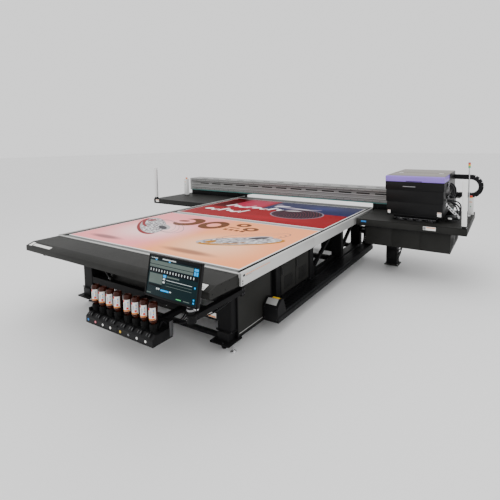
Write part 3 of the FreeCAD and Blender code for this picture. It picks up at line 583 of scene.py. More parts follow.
NODE_FINISH = {
    "frame": ("base_frame", "frame_posts", "table_beams", "under_bed_units", "chain_tray",
              "monitor_bracket", "monitor_arm", "gantry_uprights"),
    "panel": ("front_apron", "apron_supports", "cover_panels", "station_deck", "station_body", "left_shelf"),
    "moulded": ("ink_tray", "bottle_sockets", "valve_manifold", "monitor"),
    "carriage": ("carriage_body",),
    "silver": ("edge_covers",),
    "beam": ("gantry_beam",),
    "slab": ("vacuum_bed", "media_boards"),
    "steel": ("levelling_feet", "tower_light", *numbered("caster_fork", 4)),
    "ground": ("linear_rails", "cap_unit", "head_unit"),
    "rubber": numbered("caster_wheel", 4),
    "chain": tuple(way + "_chain_" + part for way in "yx" for part in ("lower_run", "loop", "upper_run")),
    "hose": ("air_hoses", "carriage_hoses"),
    "white": ("sensor_pillars", "control_boxes"),
    "red": ("stop_button_left", "stop_button_right", *numbered("valve_lever", 3)),
    "lavender": ("carriage_lid",),
    "bottle": numbered("ink_bottle", 8),
}


class Maker:
    """An operator that runs its makers in order."""
    makers = ()

    def execute(self, context):
        """Runs the makers."""
        for make in self.makers:
            make()
        return {"FINISHED"}


def finish_nodes():
    """Gives every frame node its finish."""
    for name, nodes in NODE_FINISH.items():
        for node in nodes:
            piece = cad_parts[node]
            piece.data.materials.clear()
            piece.data.materials.append(finish(name))


class PRINTER_OT_frame_finishes(Maker, Operator):
    """Give every frame node its finish"""
    bl_idname = "printer.frame_finishes"
    bl_label = "Frame finishes"
    makers = (finish_nodes,)


# ---- the two printed boards ----
BOARD_SIZE = (2500.0, 1500.0)
BOARD_BACK = 1594.0
BOARD_LOW = 795.2
BOARD_TOP = 800.0
BARE_WHITE = (0.84, 0.84, 0.83)


class Print(Nodes):
    """A board's printed face: ink fields and shapes laid over white in board coordinates."""

    def __init__(self, name, front):
        """Starts white, with the board's front left corner as the print's origin."""
        super().__init__(name)
        self.corner = at(-BOARD_SIZE[0] / 2, front, 0)
        self.ink = BARE_WHITE

    def reach(self, middle, radii, turn=0.0):
        """Place measured from a middle in units of the radii, turned by degrees."""
        node = self.add("ShaderNodeMapping", vector_type="TEXTURE")
        self.put(node.inputs["Vector"], self.place)
        node.inputs["Location"].default_value = (self.corner[0] + middle[0], self.corner[1] + middle[1], 0)
        node.inputs["Rotation"].default_value = (0, 0, math.radians(turn))
        node.inputs["Scale"].default_value = (radii[0], radii[1], 1000)
        return node.outputs["Vector"]

    def step(self, value, low, high):
        """Smooth fall from 1 at low to 0 at high."""
        node = self.add("ShaderNodeMapRange", interpolation_type="SMOOTHSTEP")
        for key, number in (("From Min", low), ("From Max", high), ("To Min", 1), ("To Max", 0)):
            node.inputs[key].default_value = number
        self.put(node.inputs["Value"], value)
        return node.outputs["Result"]

    def oval(self, middle, radii, turn=0.0, soft=0.03):
        """1 inside an ellipse: the length of the reach, stepped at 1."""
        node = self.add("ShaderNodeVectorMath", operation="LENGTH")
        self.put(node.inputs[0], self.reach(middle, radii, turn))
        return self.step(node.outputs["Value"], 1 - soft, 1.0)

    def patch(self, middle, radii, turn=0.0, soft=0.03):
        """1 inside a rectangle: the larger of the reach's two parts, stepped at 1."""
        x, y, _ = self.split(self.reach(middle, radii, turn))
        far = self.math("MAXIMUM", self.math("ABSOLUTE", x), self.math("ABSOLUTE", y))
        return self.step(far, 1 - soft, 1.0)

    def less(self, a, b):
        """A mask with another cut from it."""
        return self.math("MULTIPLY", a, self.math("SUBTRACT", 1.0, b))

    def ring(self, middle, radii, inner, turn=0.0):
        """Ellipse with a smaller one cut from its middle."""
        small = (radii[0] * inner, radii[1] * inner)
        return self.less(self.oval(middle, radii, turn), self.oval(middle, small, turn))

    def lay(self, mask, ink, strength=1.0):
        """Lays an ink over what is there."""
        if strength != 1.0:
            mask = self.math("MULTIPLY", mask, strength)
        self.ink = self.mix(mask, self.ink, ink)

    def close(self, rim):
        """Leaves the rim white, and gives the cured ink its gloss and fine relief."""
        width, depth = BOARD_SIZE[0] / 2000, BOARD_SIZE[1] / 2000
        x, y, _ = self.split(self.reach((width, depth), (1, 1)))
        off_x = self.math("SUBTRACT", width - rim, self.math("ABSOLUTE", x))
        off_y = self.math("SUBTRACT", depth - rim, self.math("ABSOLUTE", y))
        inside = self.spread(self.math("MINIMUM", off_x, off_y), 0, 1, 0, 0.002)
        self.base(self.mix(inside, BARE_WHITE, self.ink))
        grain = self.noise(900.0, 2.0)
        self.rough(self.spread(grain, 0.34, 0.48))
        self.bump(grain, 0.05, 0.0003)
        self.fixed(specular=0.03)
        return self.material


def lay_ornaments(face, gold):
    """Gold crescent, dot, rings, bar and squares along the front print's far edge."""
    face.lay(face.less(face.oval((0.74, 1.14), (0.21, 0.215)), face.oval((0.64, 1.15), (0.17, 0.115))), gold)
    face.lay(face.oval((0.63, 1.155), (0.085, 0.045), 12, 0.06), gold)
    for middle, radii, inner in (((1.16, 1.15), (0.20, 0.205), 0.46), ((1.52, 1.31), (0.105, 0.085), 0.42),
                                 ((1.73, 1.17), (0.105, 0.085), 0.42)):
        face.lay(face.ring(middle, radii, inner), gold)
    face.lay(face.patch((1.49, 1.15), (0.085, 0.016)), gold)
    for k in range(4):
        face.lay(face.patch((1.44 + 0.085 * k, 1.05), (0.030, 0.030)), gold)


def lay_shell(face, middle, turn, long, wide, accent):
    """Striped shell: pale ovals with blotches, a rim of its accent colour and three thin rings."""
    pale, mid, deep = (0.42, 0.40, 0.41), (0.13, 0.115, 0.13), (0.03, 0.028, 0.035)
    ahead = np.array([math.cos(math.radians(turn)), math.sin(math.radians(turn))])
    aside = np.array([-ahead[1], ahead[0]])

    def spot(a, b):
        """Place at parts of the shape's length and width from its middle."""
        return tuple(np.array(middle) + ahead * a * long + aside * b * wide)

    face.lay(face.oval(spot(0.05, -0.16), (long, 0.80 * wide), turn, 0.05), accent)
    face.lay(face.oval(spot(0, 0.02), (0.97 * long, 0.80 * wide), turn, 0.04), pale)
    face.lay(face.oval(spot(0.35, 0.50), (0.42 * long, 0.48 * wide), turn + 12, 0.06), pale)
    body = face.oval(spot(0.02, 0.05), (0.93 * long, 0.76 * wide), turn, 0.05)
    blotch = face.noise(2.4, 2.0, face.reach(spot(0, 0), (0.16, 0.07), turn))
    face.lay(face.math("MULTIPLY", face.step(blotch, 0.43, 0.46), body), mid, 0.9)
    face.lay(face.math("MULTIPLY", face.step(blotch, 0.34, 0.37), body), deep, 0.8)
    bright = face.math("SUBTRACT", 1.0, face.step(blotch, 0.55, 0.58))
    face.lay(face.math("MULTIPLY", bright, body), (0.78, 0.78, 0.79), 0.9)
    face.lay(face.oval(spot(0.42, 0.56), (0.26 * long, 0.22 * wide), turn + 10, 0.1), deep)
    face.lay(face.less(face.oval(spot(-0.35, -0.25), (0.55 * long, 0.40 * wide), turn, 0.05),
                       face.oval(spot(-0.30, -0.10), (0.55 * long, 0.36 * wide), turn, 0.05)), accent)
    face.lay(face.oval(spot(-0.62, -0.02), (0.14 * long, 0.30 * wide), turn + 20, 0.2), accent)
    for k in range(3):
        radii = ((0.70 + 0.12 * k) * long, (0.55 + 0.16 * k) * wide)
        face.lay(face.ring(spot(0.25, 0.8), radii, 0.97, turn + 6 * k), mid, 0.8)


def front_print():
    """Pink and peach halves with a light middle, gold ornaments and two striped shells."""
    art, rim = bpy.context.scene.printer_art, bpy.context.scene.printer_detail.board_rim
    face = Print("FrontPrint", 0)
    across = face.split(face.reach((1.18, 0.75), (1, 1)))[0]
    face.ink = face.mix(face.spread(across, 0, 1, -0.16, 0.16), art.pink, art.peach)
    face.lay(face.oval((0.62, 0.62), (0.75, 0.62), 0, 0.9), art.glow, 0.8)
    face.lay(face.oval((1.80, 0.45), (0.75, 0.55), 0, 0.9), art.pale_peach, 0.7)
    face.lay(face.oval((0.46, 0.15), (0.36, 0.075), 0, 0.7), (0.16, 0.08, 0.08), 0.8)
    face.lay(face.oval((1.72, 0.17), (0.46, 0.080), 0, 0.7), (0.19, 0.08, 0.05), 0.75)
    lay_ornaments(face, art.gold)
    lay_shell(face, (0.44, 0.80), -38, 0.50, 0.20, (0.22, 0.003, 0.006))
    lay_shell(face, (1.93, 0.70), 31, 0.48, 0.18, (0.42, 0.17, 0.004))
    return face.close(rim)


def rear_print():
    """Crimson ground with a pink column, a slate field, white strokes, a pale horn and a glass ball."""
    art, rim = bpy.context.scene.printer_art, bpy.context.scene.printer_detail.board_rim
    face = Print("RearPrint", BOARD_BACK)
    face.ink = art.crimson
    face.lay(face.patch((0.24, 1.10), (0.18, 0.45), 0, 0.1), tone(art.crimson, 0.30))
    face.lay(face.patch((0.68, 1.08), (0.30, 0.44), 0, 0.35), (0.40, 0.02, 0.06))
    face.lay(face.patch((0.40, 1.10), (0.035, 0.42), 0, 0.3), (0.42, 0.03, 0.07))
    face.lay(face.patch((1.76, 1.17), (0.77, 0.36), 0, 0.02), art.slate)
    face.lay(face.oval((1.95, 1.22), (0.45, 0.22), 0, 0.9), tone(art.slate, 2.4), 0.6)
    face.lay(face.oval((1.5, 0.24), (0.9, 0.12), 0, 0.9), (0.34, 0.0, 0.008), 0.6)
    white = (0.88, 0.86, 0.86)
    widths = (0.075, 0.05, 0.085, 0.04, 0.08, 0.055, 0.09, 0.045, 0.07)
    for row, (start, height, lift) in enumerate(((0.30, 0.115, 0.82), (0.16, 0.115, 0.46))):
        x = start
        for k, width in enumerate(widths[: 9 - 3 * row]):
            middle = (x + width, lift + (0.03 if (k + row) % 3 == 0 else 0.0))
            if (k + row) % 3 == 1:
                face.lay(face.oval(middle, (width, 0.5 * height), 24, 0.06), white)
            elif (k + row) % 3 == 2:
                cut = face.oval((middle[0], middle[1] + 0.45 * height), (0.9 * width, 0.7 * height))
                face.lay(face.less(face.oval(middle, (1.1 * width, 0.8 * height)), cut), white)
            else:
                face.lay(face.patch(middle, (width * 0.38, height), -14, 0.06), white)
            x += 1.9 * width + 0.012
    horn = face.less(face.oval((1.50, 1.15), (0.46, 0.20), -10), face.oval((1.56, 1.25), (0.48, 0.18), -10))
    face.lay(horn, (0.20, 0.17, 0.24))
    face.lay(face.oval((1.22, 1.10), (0.16, 0.055), 16, 0.3), (0.72, 0.70, 0.78))
    face.lay(face.oval((1.62, 1.02), (0.24, 0.020), -6, 0.5), (0.80, 0.78, 0.82))
    middle, radii = (1.74, 0.66), (0.42, 0.33)
    face.lay(face.oval(middle, radii, 0, 0.04), (0.012, 0.006, 0.014))
    waves = face.add("ShaderNodeTexWave", wave_type="RINGS", rings_direction="Z")
    face.put(waves.inputs["Vector"], face.reach((1.60, 0.45), (0.10, 0.16), 20))
    waves.inputs["Scale"].default_value = 0.8
    waves.inputs["Distortion"].default_value = 4.0
    waves.inputs["Detail"].default_value = 3.0
    ball = face.oval(middle, (0.40, 0.31), 0, 0.04)
    for low, high, ink, strength in ((0.12, 0.30, (0.09, 0.0, 0.008), 0.9),
                                     (0.0, 0.05, (0.20, 0.14, 0.18), 0.4)):
        stripe = face.step(waves.outputs["Fac"], low, high)
        face.lay(face.math("MULTIPLY", stripe, ball), ink, strength)
    face.lay(face.ring(middle, radii, 0.95), (0.34, 0.30, 0.38), 0.6)
    face.lay(face.oval((1.58, 0.84), (0.16, 0.035), 14, 0.5), (0.82, 0.80, 0.84), 0.8)
    return face.close(rim)


def make_boards():
    """Two rigid sheets, each with its print."""
    FINISHES["front_print"] = front_print()
    FINISHES["rear_print"] = rear_print()
    half = BOARD_SIZE[0] / 2
    for name, look, front in (("front_board", "front_print", 0), ("rear_board", "rear_print", BOARD_BACK)):
        sheet = box(-half, half, front, front + BOARD_SIZE[1], BOARD_LOW, BOARD_TOP, 1.0)
        dress(name, "machine", [(sheet, look)], ("media_boards",) if front else ())


class PRINTER_OT_boards(Maker, Operator):
    """Make the two rigid boards with their generic test prints"""
    bl_idname = "printer.boards"
    bl_label = "Printed boards"
    makers = (make_boards,)


# ---- table and frame details ----
POST_ROWS = ((60, 140), (770, 850), (1510, 1610), (2470, 2550), (3230, 3330))
FEET_Y = (100, 1820, 3280)
BLOWERS_X = (-620, -140)
BLOWER_Z = 380


def make_bed_gutters():
    """Rubber gutters and bright lips beside the boards, and the strip between them."""
    parts = Parts()
    for s in (-1, 1):
        parts.box("rubber", s * 1281 - 25, s * 1281 + 25, -55, 3320, 794, 796.5, 1.0)
    for s in (-1, 1):
        parts.box("silver", s * 1308 - 3, s * 1308 + 3, -60, 3325, 796, 808, 1.0)
    parts.box("ground", -1250, 1250, 1504, 1590, 794, 796, 0.8)
    for y in (1520, 1568):
        parts.box("silver", -1250, 1250, y, y + 6, 795, 797.5, 0.8)
    dress("bed_gutters", "machine", parts)


def make_cover_rails():
    """Bright side covers with a rolled top edge, their marks, screws and ends, and the front strip."""
    parts = Parts()
    for y0, y1 in ((-74, 1180), (1183, 2255), (2258, 3329)):
        outline = [(701, 1310), (701, 1330.6), (797, 1330.6), (803, 1329), (808, 1325), (810.6, 1319),
                   (810.6, 1310)]
        parts.pair("silver", prism(outline, y0, y1, "y", 1.2))
    for y in range(30, 3300, 321):
        parts.pair("steel", studs([(1330.4, y, 716)], "x", 5.0, 1.6))
    parts.box("orange", 1330, 1331.4, -20, 330, 779, 784, 0.5)
    parts.box("moulded", 1330, 1331.4, -52, -28, 772, 790, 0.5)
    parts.box("ground", 1330, 1331.4, -20, 60, 768, 772, 0.5)
    holes = turned_part([(6.5, -0.4), (6.5, 0.4)], 1331, -58, 740, "x", 16)
    parts.put("rubber", holes, moved(holes, (0, 0, -0.022)))
    parts.pair("silver", box(1308, 1331, -76, -73, 702, 808, 1.0, "y"))
    parts.box("silver", -1309, 1309, -80.5, -60, 766, 803.6, 1.6, "x")
    dress("cover_rails", "machine", parts, ("edge_covers",))


class PRINTER_OT_table(Maker, Operator):
    """Make the table's gutters, cover marks, seams and screws"""
    bl_idname = "printer.table"
    bl_label = "Table trim"
    makers = (make_bed_gutters, make_cover_rails)


def make_apron_skin():
    """Folded front cover with its hem."""
    outline = [(-81, 797), (-338, 797.6), (-341, 797.2), (-409, 769.6), (-411, 767), (-411, 724), (-409, 722),
               (-398, 722), (-398, 759), (-335, 785), (-81, 785)]
    skin = Parts()
    skin.put("panel", prism(outline, -1297.5, 1297.5, "x", 0.6))
    skin.box("panel", -1290, 1290, -410.6, -396, 714, 725, 2, "x")
    dress("apron_skin", "machine", skin, ("front_apron",))


def make_apron_frame():
    """The cover's end plates, arms, stays, webs and ribs."""
    end = [(-81, 797.5), (-338, 797.5), (-411, 768.6), (-411, 716), (-404, 712), (-60, 704), (-60, 765),
           (-81, 765)]
    parts = Parts()
    parts.pair("panel", prism(end, 1297.5, 1310.4, "x", 1.0))
    dots = [(1310, y, z) for y, z in ((-100, 788), (-190, 788), (-280, 788), (-380, 745), (-240, 730),
                                      (-100, 724))]
    parts.pair("moulded", studs(dots, "x", 6.0, 2.4))
    arm = [(60, 700), (-398, 700), (-398, 745), (60, 745)]
    stay = [(-390, 700), (60, 440), (60, 500), (-308, 700)]
    for outline in (arm, stay):
        parts.pair("frame", prism(outline, 960, 1000, "x", 1.5))
    parts.pair("frame", prism([(-330, 700), (40, 486), (40, 700)], 978, 982, "x", 0.5))
    rib = [(-395, 727), (-395, 757), (-337, 783), (-90, 783), (-90, 765)]
    for x in range(-1140, 1200, 380):
        parts.put("panel", prism(rib, x, x + 4, "x", 0.5))
    bolts = [(1000, y, z) for y, z in ((30, 722), (-30, 722), (30, 480), (30, 455))]
    parts.put("bolt", studs(bolts, "x", 9, 5))
    dress("apron_frame", "machine", parts, ("apron_supports",))


def make_apron_labels():
    """Blank labels on the sloped face."""
    slope = math.degrees(math.atan2(28.5, 70))
    about = at(0, -375, 783.6)
    labels = Parts()
    for x0, x1, y0, y1, look in ((1150, 1245, -404, -346, "label"), (1156, 1180, -398, -356, "orange"),
                                 (1186, 1238, -392, -387, "ground"), (1186, 1230, -378, -373, "ground"),
                                 (-1275, -1222, -402, -350, "label"), (-1208, -880, -394, -362, "label")):
        lift = 0.8 if look == "label" else 1.3
        labels.put(look, turned(box(x0, x1, y0, y1, 782.6, 783.4 + lift, 0.4), (1, 0, 0), slope, about))
    dress("apron_labels", "machine", labels)


class PRINTER_OT_apron(Maker, Operator):
    """Make the apron's folds, end screws, underside ribs and blank labels"""
    bl_idname = "printer.apron"
    bl_label = "Front apron"
    makers = (make_apron_skin, make_apron_frame, make_apron_labels)


def make_frame_fittings():
    """Foot and head plates, gussets and bolts of the posts."""
    parts = Parts()
    for y0, y1 in POST_ROWS:
        middle = (y0 + y1) / 2
        parts.box("frame", 928, 1112, y0 - 12, y1 + 12, 190, 198, 3)
        parts.box("frame", 928, 1126, y0 - 12, y1 + 12, 630, 638.5, 3)
        dots = [(x, y, 198) for x in (936, 1104) for y in (y0 - 6, y1 + 6)]
        parts.put("bolt", studs(dots, "z", 7, 6))
        side = [(1100, middle + d, z) for z in (600, 560) for d in (-22, 22)]
        parts.put("frame", studs(side, "x", 8, 5))
        if (y0, y1) != POST_ROWS[-1]:
            gusset = [(y1 + 2, 190), (y1 + 70, 190), (y1 + 2, 262)]
            parts.put("frame", prism(gusset, 1014, 1026, "x", 1))
    for y in FEET_Y:
        dots = [(x, y + d, 110) for x in (925, 1045) for d in (-90, 60)]
        parts.put("bolt", studs(dots, "z", 8, 6))
    for y in (39, 3349):
        parts.box("moulded", 957, 1083, y, y + 3, 108, 192, 2, "y")
    parts.mirror()
    dress("frame_fittings", "machine", parts)


def make_side_panel_trim():
    """Rails and bolts round the side panels."""
    trim = Parts()
    trim.box("silver", 1112, 1116, 150, 640, 148, 153, 1.5, "y")
    trim.box("frame", 1112, 1118, 140, 650, 118, 128, 2, "y")
    trim.box("frame", 1112, 1115, 146, 644, 628, 638, 1.5, "y")
    trim.put("frame", studs([(1112, y, z) for y in (160, 395, 630) for z in (170, 615)], "x", 5, 3))
    trim.box("frame", 1100, 1117, 128, 137, 112, 640, 2)
    trim.box("frame", 1100, 1117, 652, 660, 112, 640, 2)
    trim.mirror()
    dress("side_panel_trim", "machine", trim)


def make_service_panel():
    """Front panel with louvres, and the hoses before it."""
    front = Parts()
    front.box("panel", -600, 620, 121, 124.4, 210, 620, 2)
    front.put("steel",
              studs([(x, 121.6, z) for x in (-585, -180, 215, 605) for z in (225, 605)], "y", 6, 3, -1))
    for k in range(9):
        front.box("rubber", 330 + 26 * k, 344 + 26 * k, 120, 122, 470, 590, 1)
    front.put("hose", bowed((-560, 90, 600), (-180, 104, 590), (0, 0, -60), 6))
    front.put("hose", bowed((-540, 96, 585), (-120, 100, 565), (0, 0, -90), 5))
    front.put("hose", bowed((230, 92, 560), (600, 96, 600), (0, 0, -75), 6))
    front.put("hose", bowed((420, 98, 620), (880, 90, 560), (0, 0, -100), 7))
    dress("service_panel", "machine", front)


def make_leg_labels():
    """Blank labels on the front legs."""
    labels = Parts()
    labels.box("label", -1075, -985, 57.6, 59.6, 505, 560, 0.4)
    labels.box("orange", -1068, -992, 56.8, 58, 540, 554, 0.3)
    labels.box("label", 815, 925, 61.4, 63.6, 285, 330, 0.4)
    labels.box("orange", 820, 920, 60.6, 62, 288, 300, 0.3)
    dress("leg_labels", "machine", labels)


class PRINTER_OT_frame(Maker, Operator):
    """Make the frame's foot and head plates, bolts, gussets, front panel and the side panels' trim"""
    bl_idname = "printer.frame"
    bl_label = "Frame details"
    makers = (make_frame_fittings, make_side_panel_trim, make_service_panel, make_leg_labels)


def make_blower_fittings():
    """Fins, guards, clamp rings, outlets and leads of the two suction blowers."""
    parts = Parts()
    for x in BLOWERS_X:
        for k in range(9):
            y = 2012 + 16 * k
            parts.put("frame", turned_part([(84, 0), (94, 1), (94, 4), (84, 5)], x, y, BLOWER_Z, "y", 28))
        parts.put("moulded",
                  turned_part([(60, 0), (92, 1), (94, 20), (80, 27), (20, 28)], x, 2150, BLOWER_Z, "y", 32))
        for radius in (26, 44, 62):
            ring = [(radius - 2, 0), (radius + 2, 0), (radius + 2, 3), (radius - 2, 3)]
            parts.put("steel", turned_part(ring, x, 2177, BLOWER_Z, "y", 32))
        clamp = [(152, 0), (158, 2), (158, 10), (152, 12)]
        for y in (1790, 1978):
            parts.put("frame", turned_part(clamp, x, y, BLOWER_Z, "y", 40))
        bolts = [(x + 155 * math.cos(a), 1992, BLOWER_Z + 155 * math.sin(a))
                 for a in np.arange(0, 6.2, math.pi / 4)]
        parts.put("steel", studs(bolts, "y", 6, 5))
        parts.put("steel", turned_part([(46, 0), (52, 4), (52, 26), (46, 30)], x, 1890, 600, "z", 32))
        parts.box("moulded", x - 40, x + 40, 2030, 2120, 462, 498, 6)
        parts.put("hose", bowed((x + 30, 2075, 498), (x + 180, 2300, 640), (60, 40, 20), 7))
    dress("blower_fittings", "machine", parts)


def make_cabinet_fittings():
    """Doors, louvres, handles and cables of the electrical cabinet."""
    parts = Parts()
    for y0, y1 in ((875, 1175), (1185, 1485)):
        parts.box("panel", 1088, 1094, y0, y1, 228, 628, 4, "x")
        for k in range(11):
            z = 270 + 13 * k
            parts.box("moulded", 1093, 1097, y0 + 60, y1 - 60, z, z + 6, 1.5, "x")
        parts.box("bolt", 1094, 1104, y0 + 14, y0 + 26, 440, 520, 4, "x")
        parts.put("bolt", studs([(1094, y, z) for y in (y0 + 12, y1 - 12) for z in (242, 614)], "x", 5, 3))
    for k in range(6):
        for x0, x1, y0 in ((720, 768, 862), (724, 764, 1494)):
            parts.box("moulded", x0 + 58 * k, x1 + 58 * k, y0, y0 + 4, 300, 560, 3, "y")
    for k, z in enumerate((600, 570, 545)):
        parts.put("hose",
                  bowed((1095, 640 + 60 * k, 630), (1060, 1640 + 40 * k, z), (0, 0, -60 - 25 * k), 7 + k))
    parts.put("hose", bowed((900, 880, 645), (760, 700, 640), (0, 0, -120), 9))
    parts.put("hose", bowed((980, 1000, 210), (980, 1900, 205), (0, 0, -14), 8))
    parts.box("frame", 1012, 1028, 1640, 2440, 196, 236, 3)
    parts.box("panel", 700, 900, 2620, 2990, 200, 420, 6)
    parts.box("moulded", 898, 904, 2650, 2960, 230, 390, 3, "x")
    for k in range(7):
        parts.box("rubber", 903, 906, 2670 + 40 * k, 2690 + 40 * k, 250, 370, 1, "x")
    dress("cabinet_fittings", "machine", parts)


class PRINTER_OT_under_bed(Maker, Operator):
    """Make the blowers' fins and guards and the electrical cabinet's doors, louvres and cables"""
    bl_idname = "printer.under_bed"
    bl_label = "Under the bed"
    makers = (make_blower_fittings, make_cabinet_fittings)


# ---- feet and castors ----
def make_screw_feet():
    """Threaded feet with their pads and lock nuts."""
    parts = Parts()
    for y in FEET_Y:
        profile = [(28, 0.2), (28.3, 5), (26, 8.5), (15, 17), (12, 20), (8, 21)]
        profile += [(8.4 if k % 2 else 7.4, 22 + 3 * k) for k in range(22)] + [(8, 88)]
        parts.put("steel", turned_part(profile, 1085, y, 0, "z", 24))
        for nut in ([(15, 86), (17, 88), (17, 97), (15, 99.5)], [(14, 62), (16, 64), (16, 73), (14, 75)]):
            parts.put("steel", turned_part(nut, 1085, y, 0, "z", 6))
    parts.mirror()
    dress("screw_feet", "machine", parts, ("levelling_feet",))


def make_castors():
    """The castors' wheels, axle nuts and swivel races."""
    for number, y in enumerate((80, 80, 3280, 3280), 1):
        low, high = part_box("caster_wheel_%d" % number)
        centre = (np.array(low) + np.array(high)) / 2
        tread = [(12, -14), (24, -14), (26, -12), (30, -13.5), (32.6, -11), (34, -6), (34, 6), (32.6, 11),
                 (30, 13.5), (26, 12), (24, 14), (12, 14)]
        tyre = lathe(np.array(tread) / 1000, centre, "x", 36)
        hub = lathe(np.array([(6, -16), (12, -15.6), (17, -14.4), (17, 14.4), (12, 15.6), (6, 16)]) / 1000,
                    centre, "x", 24)
        dress("castor_wheel_%d" % number, "caster_wheel_%d" % number,
              [(tyre, "rubber"), (hub, "ground")], ("caster_wheel_%d" % number,))
        nuts = [lathe(np.array([(9, side * 21), (9, side * 26.5), (5, side * 28)]) / 1000, centre, "x", 6)
                for side in (-1, 1)]
        low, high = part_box("caster_fork_%d" % number)
        race = lathe(np.array([(27, 0), (29, 2), (29, 7), (27, 9)]) / 1000,
                     ((low.x + high.x) / 2, FRONT_Y + y / 1000, high.z - 0.016), "z", 28)
        dress("castor_nuts_%d" % number, "caster_fork_%d" % number,
              [(m, "steel") for m in nuts] + [(race, "steel")])


class PRINTER_OT_feet(Maker, Operator):
    """Make the levelling feet and the castors' wheels and axle nuts"""
    bl_idname = "printer.feet"
    bl_label = "Feet and castors"
    makers = (make_screw_feet, make_castors)


# ---- cable chains ----
CHAIN_PARTS = 5
TABLE_CHAIN, BEAM_CHAIN = (0.160, 0.058), (0.098, 0.064)
TABLE_CHAIN_X, TABLE_BEND_Y, TABLE_CHAIN_LOW, TABLE_CHAIN_HIGH = 1210, 3200, 170, 470
BEAM_CHAIN_Y, BEAM_BEND_X, BEAM_CHAIN_LOW, BEAM_CHAIN_HIGH = 3510, 2695, 1059, 1323


def chain_link(width, height, pitch, along):
    """One link about the origin, in metres: two side plates and four cross bars."""
    sizes = []
    plate, rung = 0.011, 0.016
    for side in (-1, 1):
        sizes.append(((side * (width / 2 - plate / 2), 0, 0), (plate, pitch * 0.93, height)))
        sizes.append(((side * (width / 2 - 0.002), 0.18 * pitch, 0), (0.005, pitch * 0.42, height * 0.62)))
    for k in (-1, 1):
        sizes.append(((0, k * 0.23 * pitch, height / 2 - 0.005), (width - 0.012, rung, 0.010)))
        sizes.append(((0, k * 0.23 * pitch, -height / 2 + 0.005), (width - 0.012, rung, 0.010)))
    parts = []
    for centre, size in sizes:
        centre, half = np.array(centre), np.array(size) / 2
        if along == "x":
            centre, half = centre[[1, 0, 2]], half[[1, 0, 2]]
        parts.append(block(centre - half, centre + half, 0.0012, "z", 2))
    return merge(*parts)


def straight_chain(width, height, start, stop, along):
    """Links side by side from one place to another in metres, with one band of cables inside."""
    axis = 0 if along == "x" else 1
    run = stop - start
    number = max(3, round(abs(run[axis]) / bpy.context.scene.printer_detail.chain_pitch))
    pitch = abs(run[axis]) / number
    places = start + run * ((np.arange(number) + 0.5) / number)[:, None]
    links = copies(chain_link(width, height, pitch, along), places)
    cables = []
    for k in range(5):
        shift = np.zeros(3)
        shift[1 - axis] = (k - 2) * (width - 0.04) / 5
        path = start + shift + run * np.linspace(0, 1, 9)[:, None]
        cables.append(tube(path, height * 0.16, 8))
    return links, merge(*cables)


def chain_run(name, node, size, along, ends):
    """A straight run in parts: each part holds its stretch of links and cables, rides on no body and is baked
    into place."""
    start, stop = (np.asarray(end, float) for end in ends)
    for k in range(CHAIN_PARTS):
        first, last = (start + (stop - start) * part / CHAIN_PARTS for part in (k, k + 1))
        links, cables = straight_chain(*size, first, last, along)
        parts = [(links, "chain"), (cables, "hose")]
        chain = dress("%s_%d" % (name, k + 1), None, parts, (node,))
        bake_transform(chain)


def bent_chain(width, height, centre, radius, along):
    """Links set round half a circle: each at an angle from the bottom to the top, turned with it."""
    pitch = bpy.context.scene.printer_detail.chain_pitch
    number = round(math.pi * radius / pitch)
    step = math.pi / number
    link = chain_link(width, height, step * radius * 1.02, along)
    axis = (1, 0, 0) if along == "y" else (0, -1, 0)
    links = []
    for k in range(number):
        low = moved(link, (0, 0, -radius))
        links.append(moved(turned(low, axis, math.degrees((k + 0.5) * step)), centre))
    angle = np.linspace(-math.pi / 2, math.pi / 2, 25)
    cables = []
    for k in range(5):
        shift = (k - 2) * (width - 0.04) / 5
        out, up = radius * np.cos(angle), radius * np.sin(angle)
        flat = np.full_like(out, shift)
        path = np.stack([flat, out, up] if along == "y" else [out, flat, up], 1)
        cables.append(tube(path + centre, height * 0.16, 8))
    return merge(*links), merge(*cables)


def make_chain_runs():
    """Lower and upper straight runs of both chains."""
    for part, z, y, share in (("lower", TABLE_CHAIN_LOW, (662, TABLE_BEND_Y), (0.0, 0.5)),
                              ("upper", TABLE_CHAIN_HIGH, (TABLE_BEND_Y, 3080), (0.5, 1.0))):
        chain_run("table_chain_" + part, "y_chain_%s_run" % part, TABLE_CHAIN, "y",
                  [at(TABLE_CHAIN_X, end, z) for end in y])
    for part, z, x, share in (("lower", BEAM_CHAIN_LOW, (400, BEAM_BEND_X), (0.0, 0.5)),
                              ("upper", BEAM_CHAIN_HIGH, (BEAM_BEND_X, 2472), (0.5, 1.0))):
        chain_run("beam_chain_" + part, "x_chain_%s_run" % part, BEAM_CHAIN, "x",
                  [at(end, BEAM_CHAIN_Y, z) for end in x])


def make_chain_bends():
    """Half turns of both chains."""
    for name, way, size, x, y, low, high in (
            ("table", "y", TABLE_CHAIN, TABLE_CHAIN_X, TABLE_BEND_Y, TABLE_CHAIN_LOW, TABLE_CHAIN_HIGH),
            ("beam", "x", BEAM_CHAIN, BEAM_BEND_X, BEAM_CHAIN_Y, BEAM_CHAIN_LOW, BEAM_CHAIN_HIGH)):
        links, cables = bent_chain(*size, at(x, y, (low + high) / 2), (high - low) / 2000, way)
        dress(name + "_chain_bend", way + "_chain", [(links, "chain"), (cables, "hose")],
              (way + "_chain_loop",))


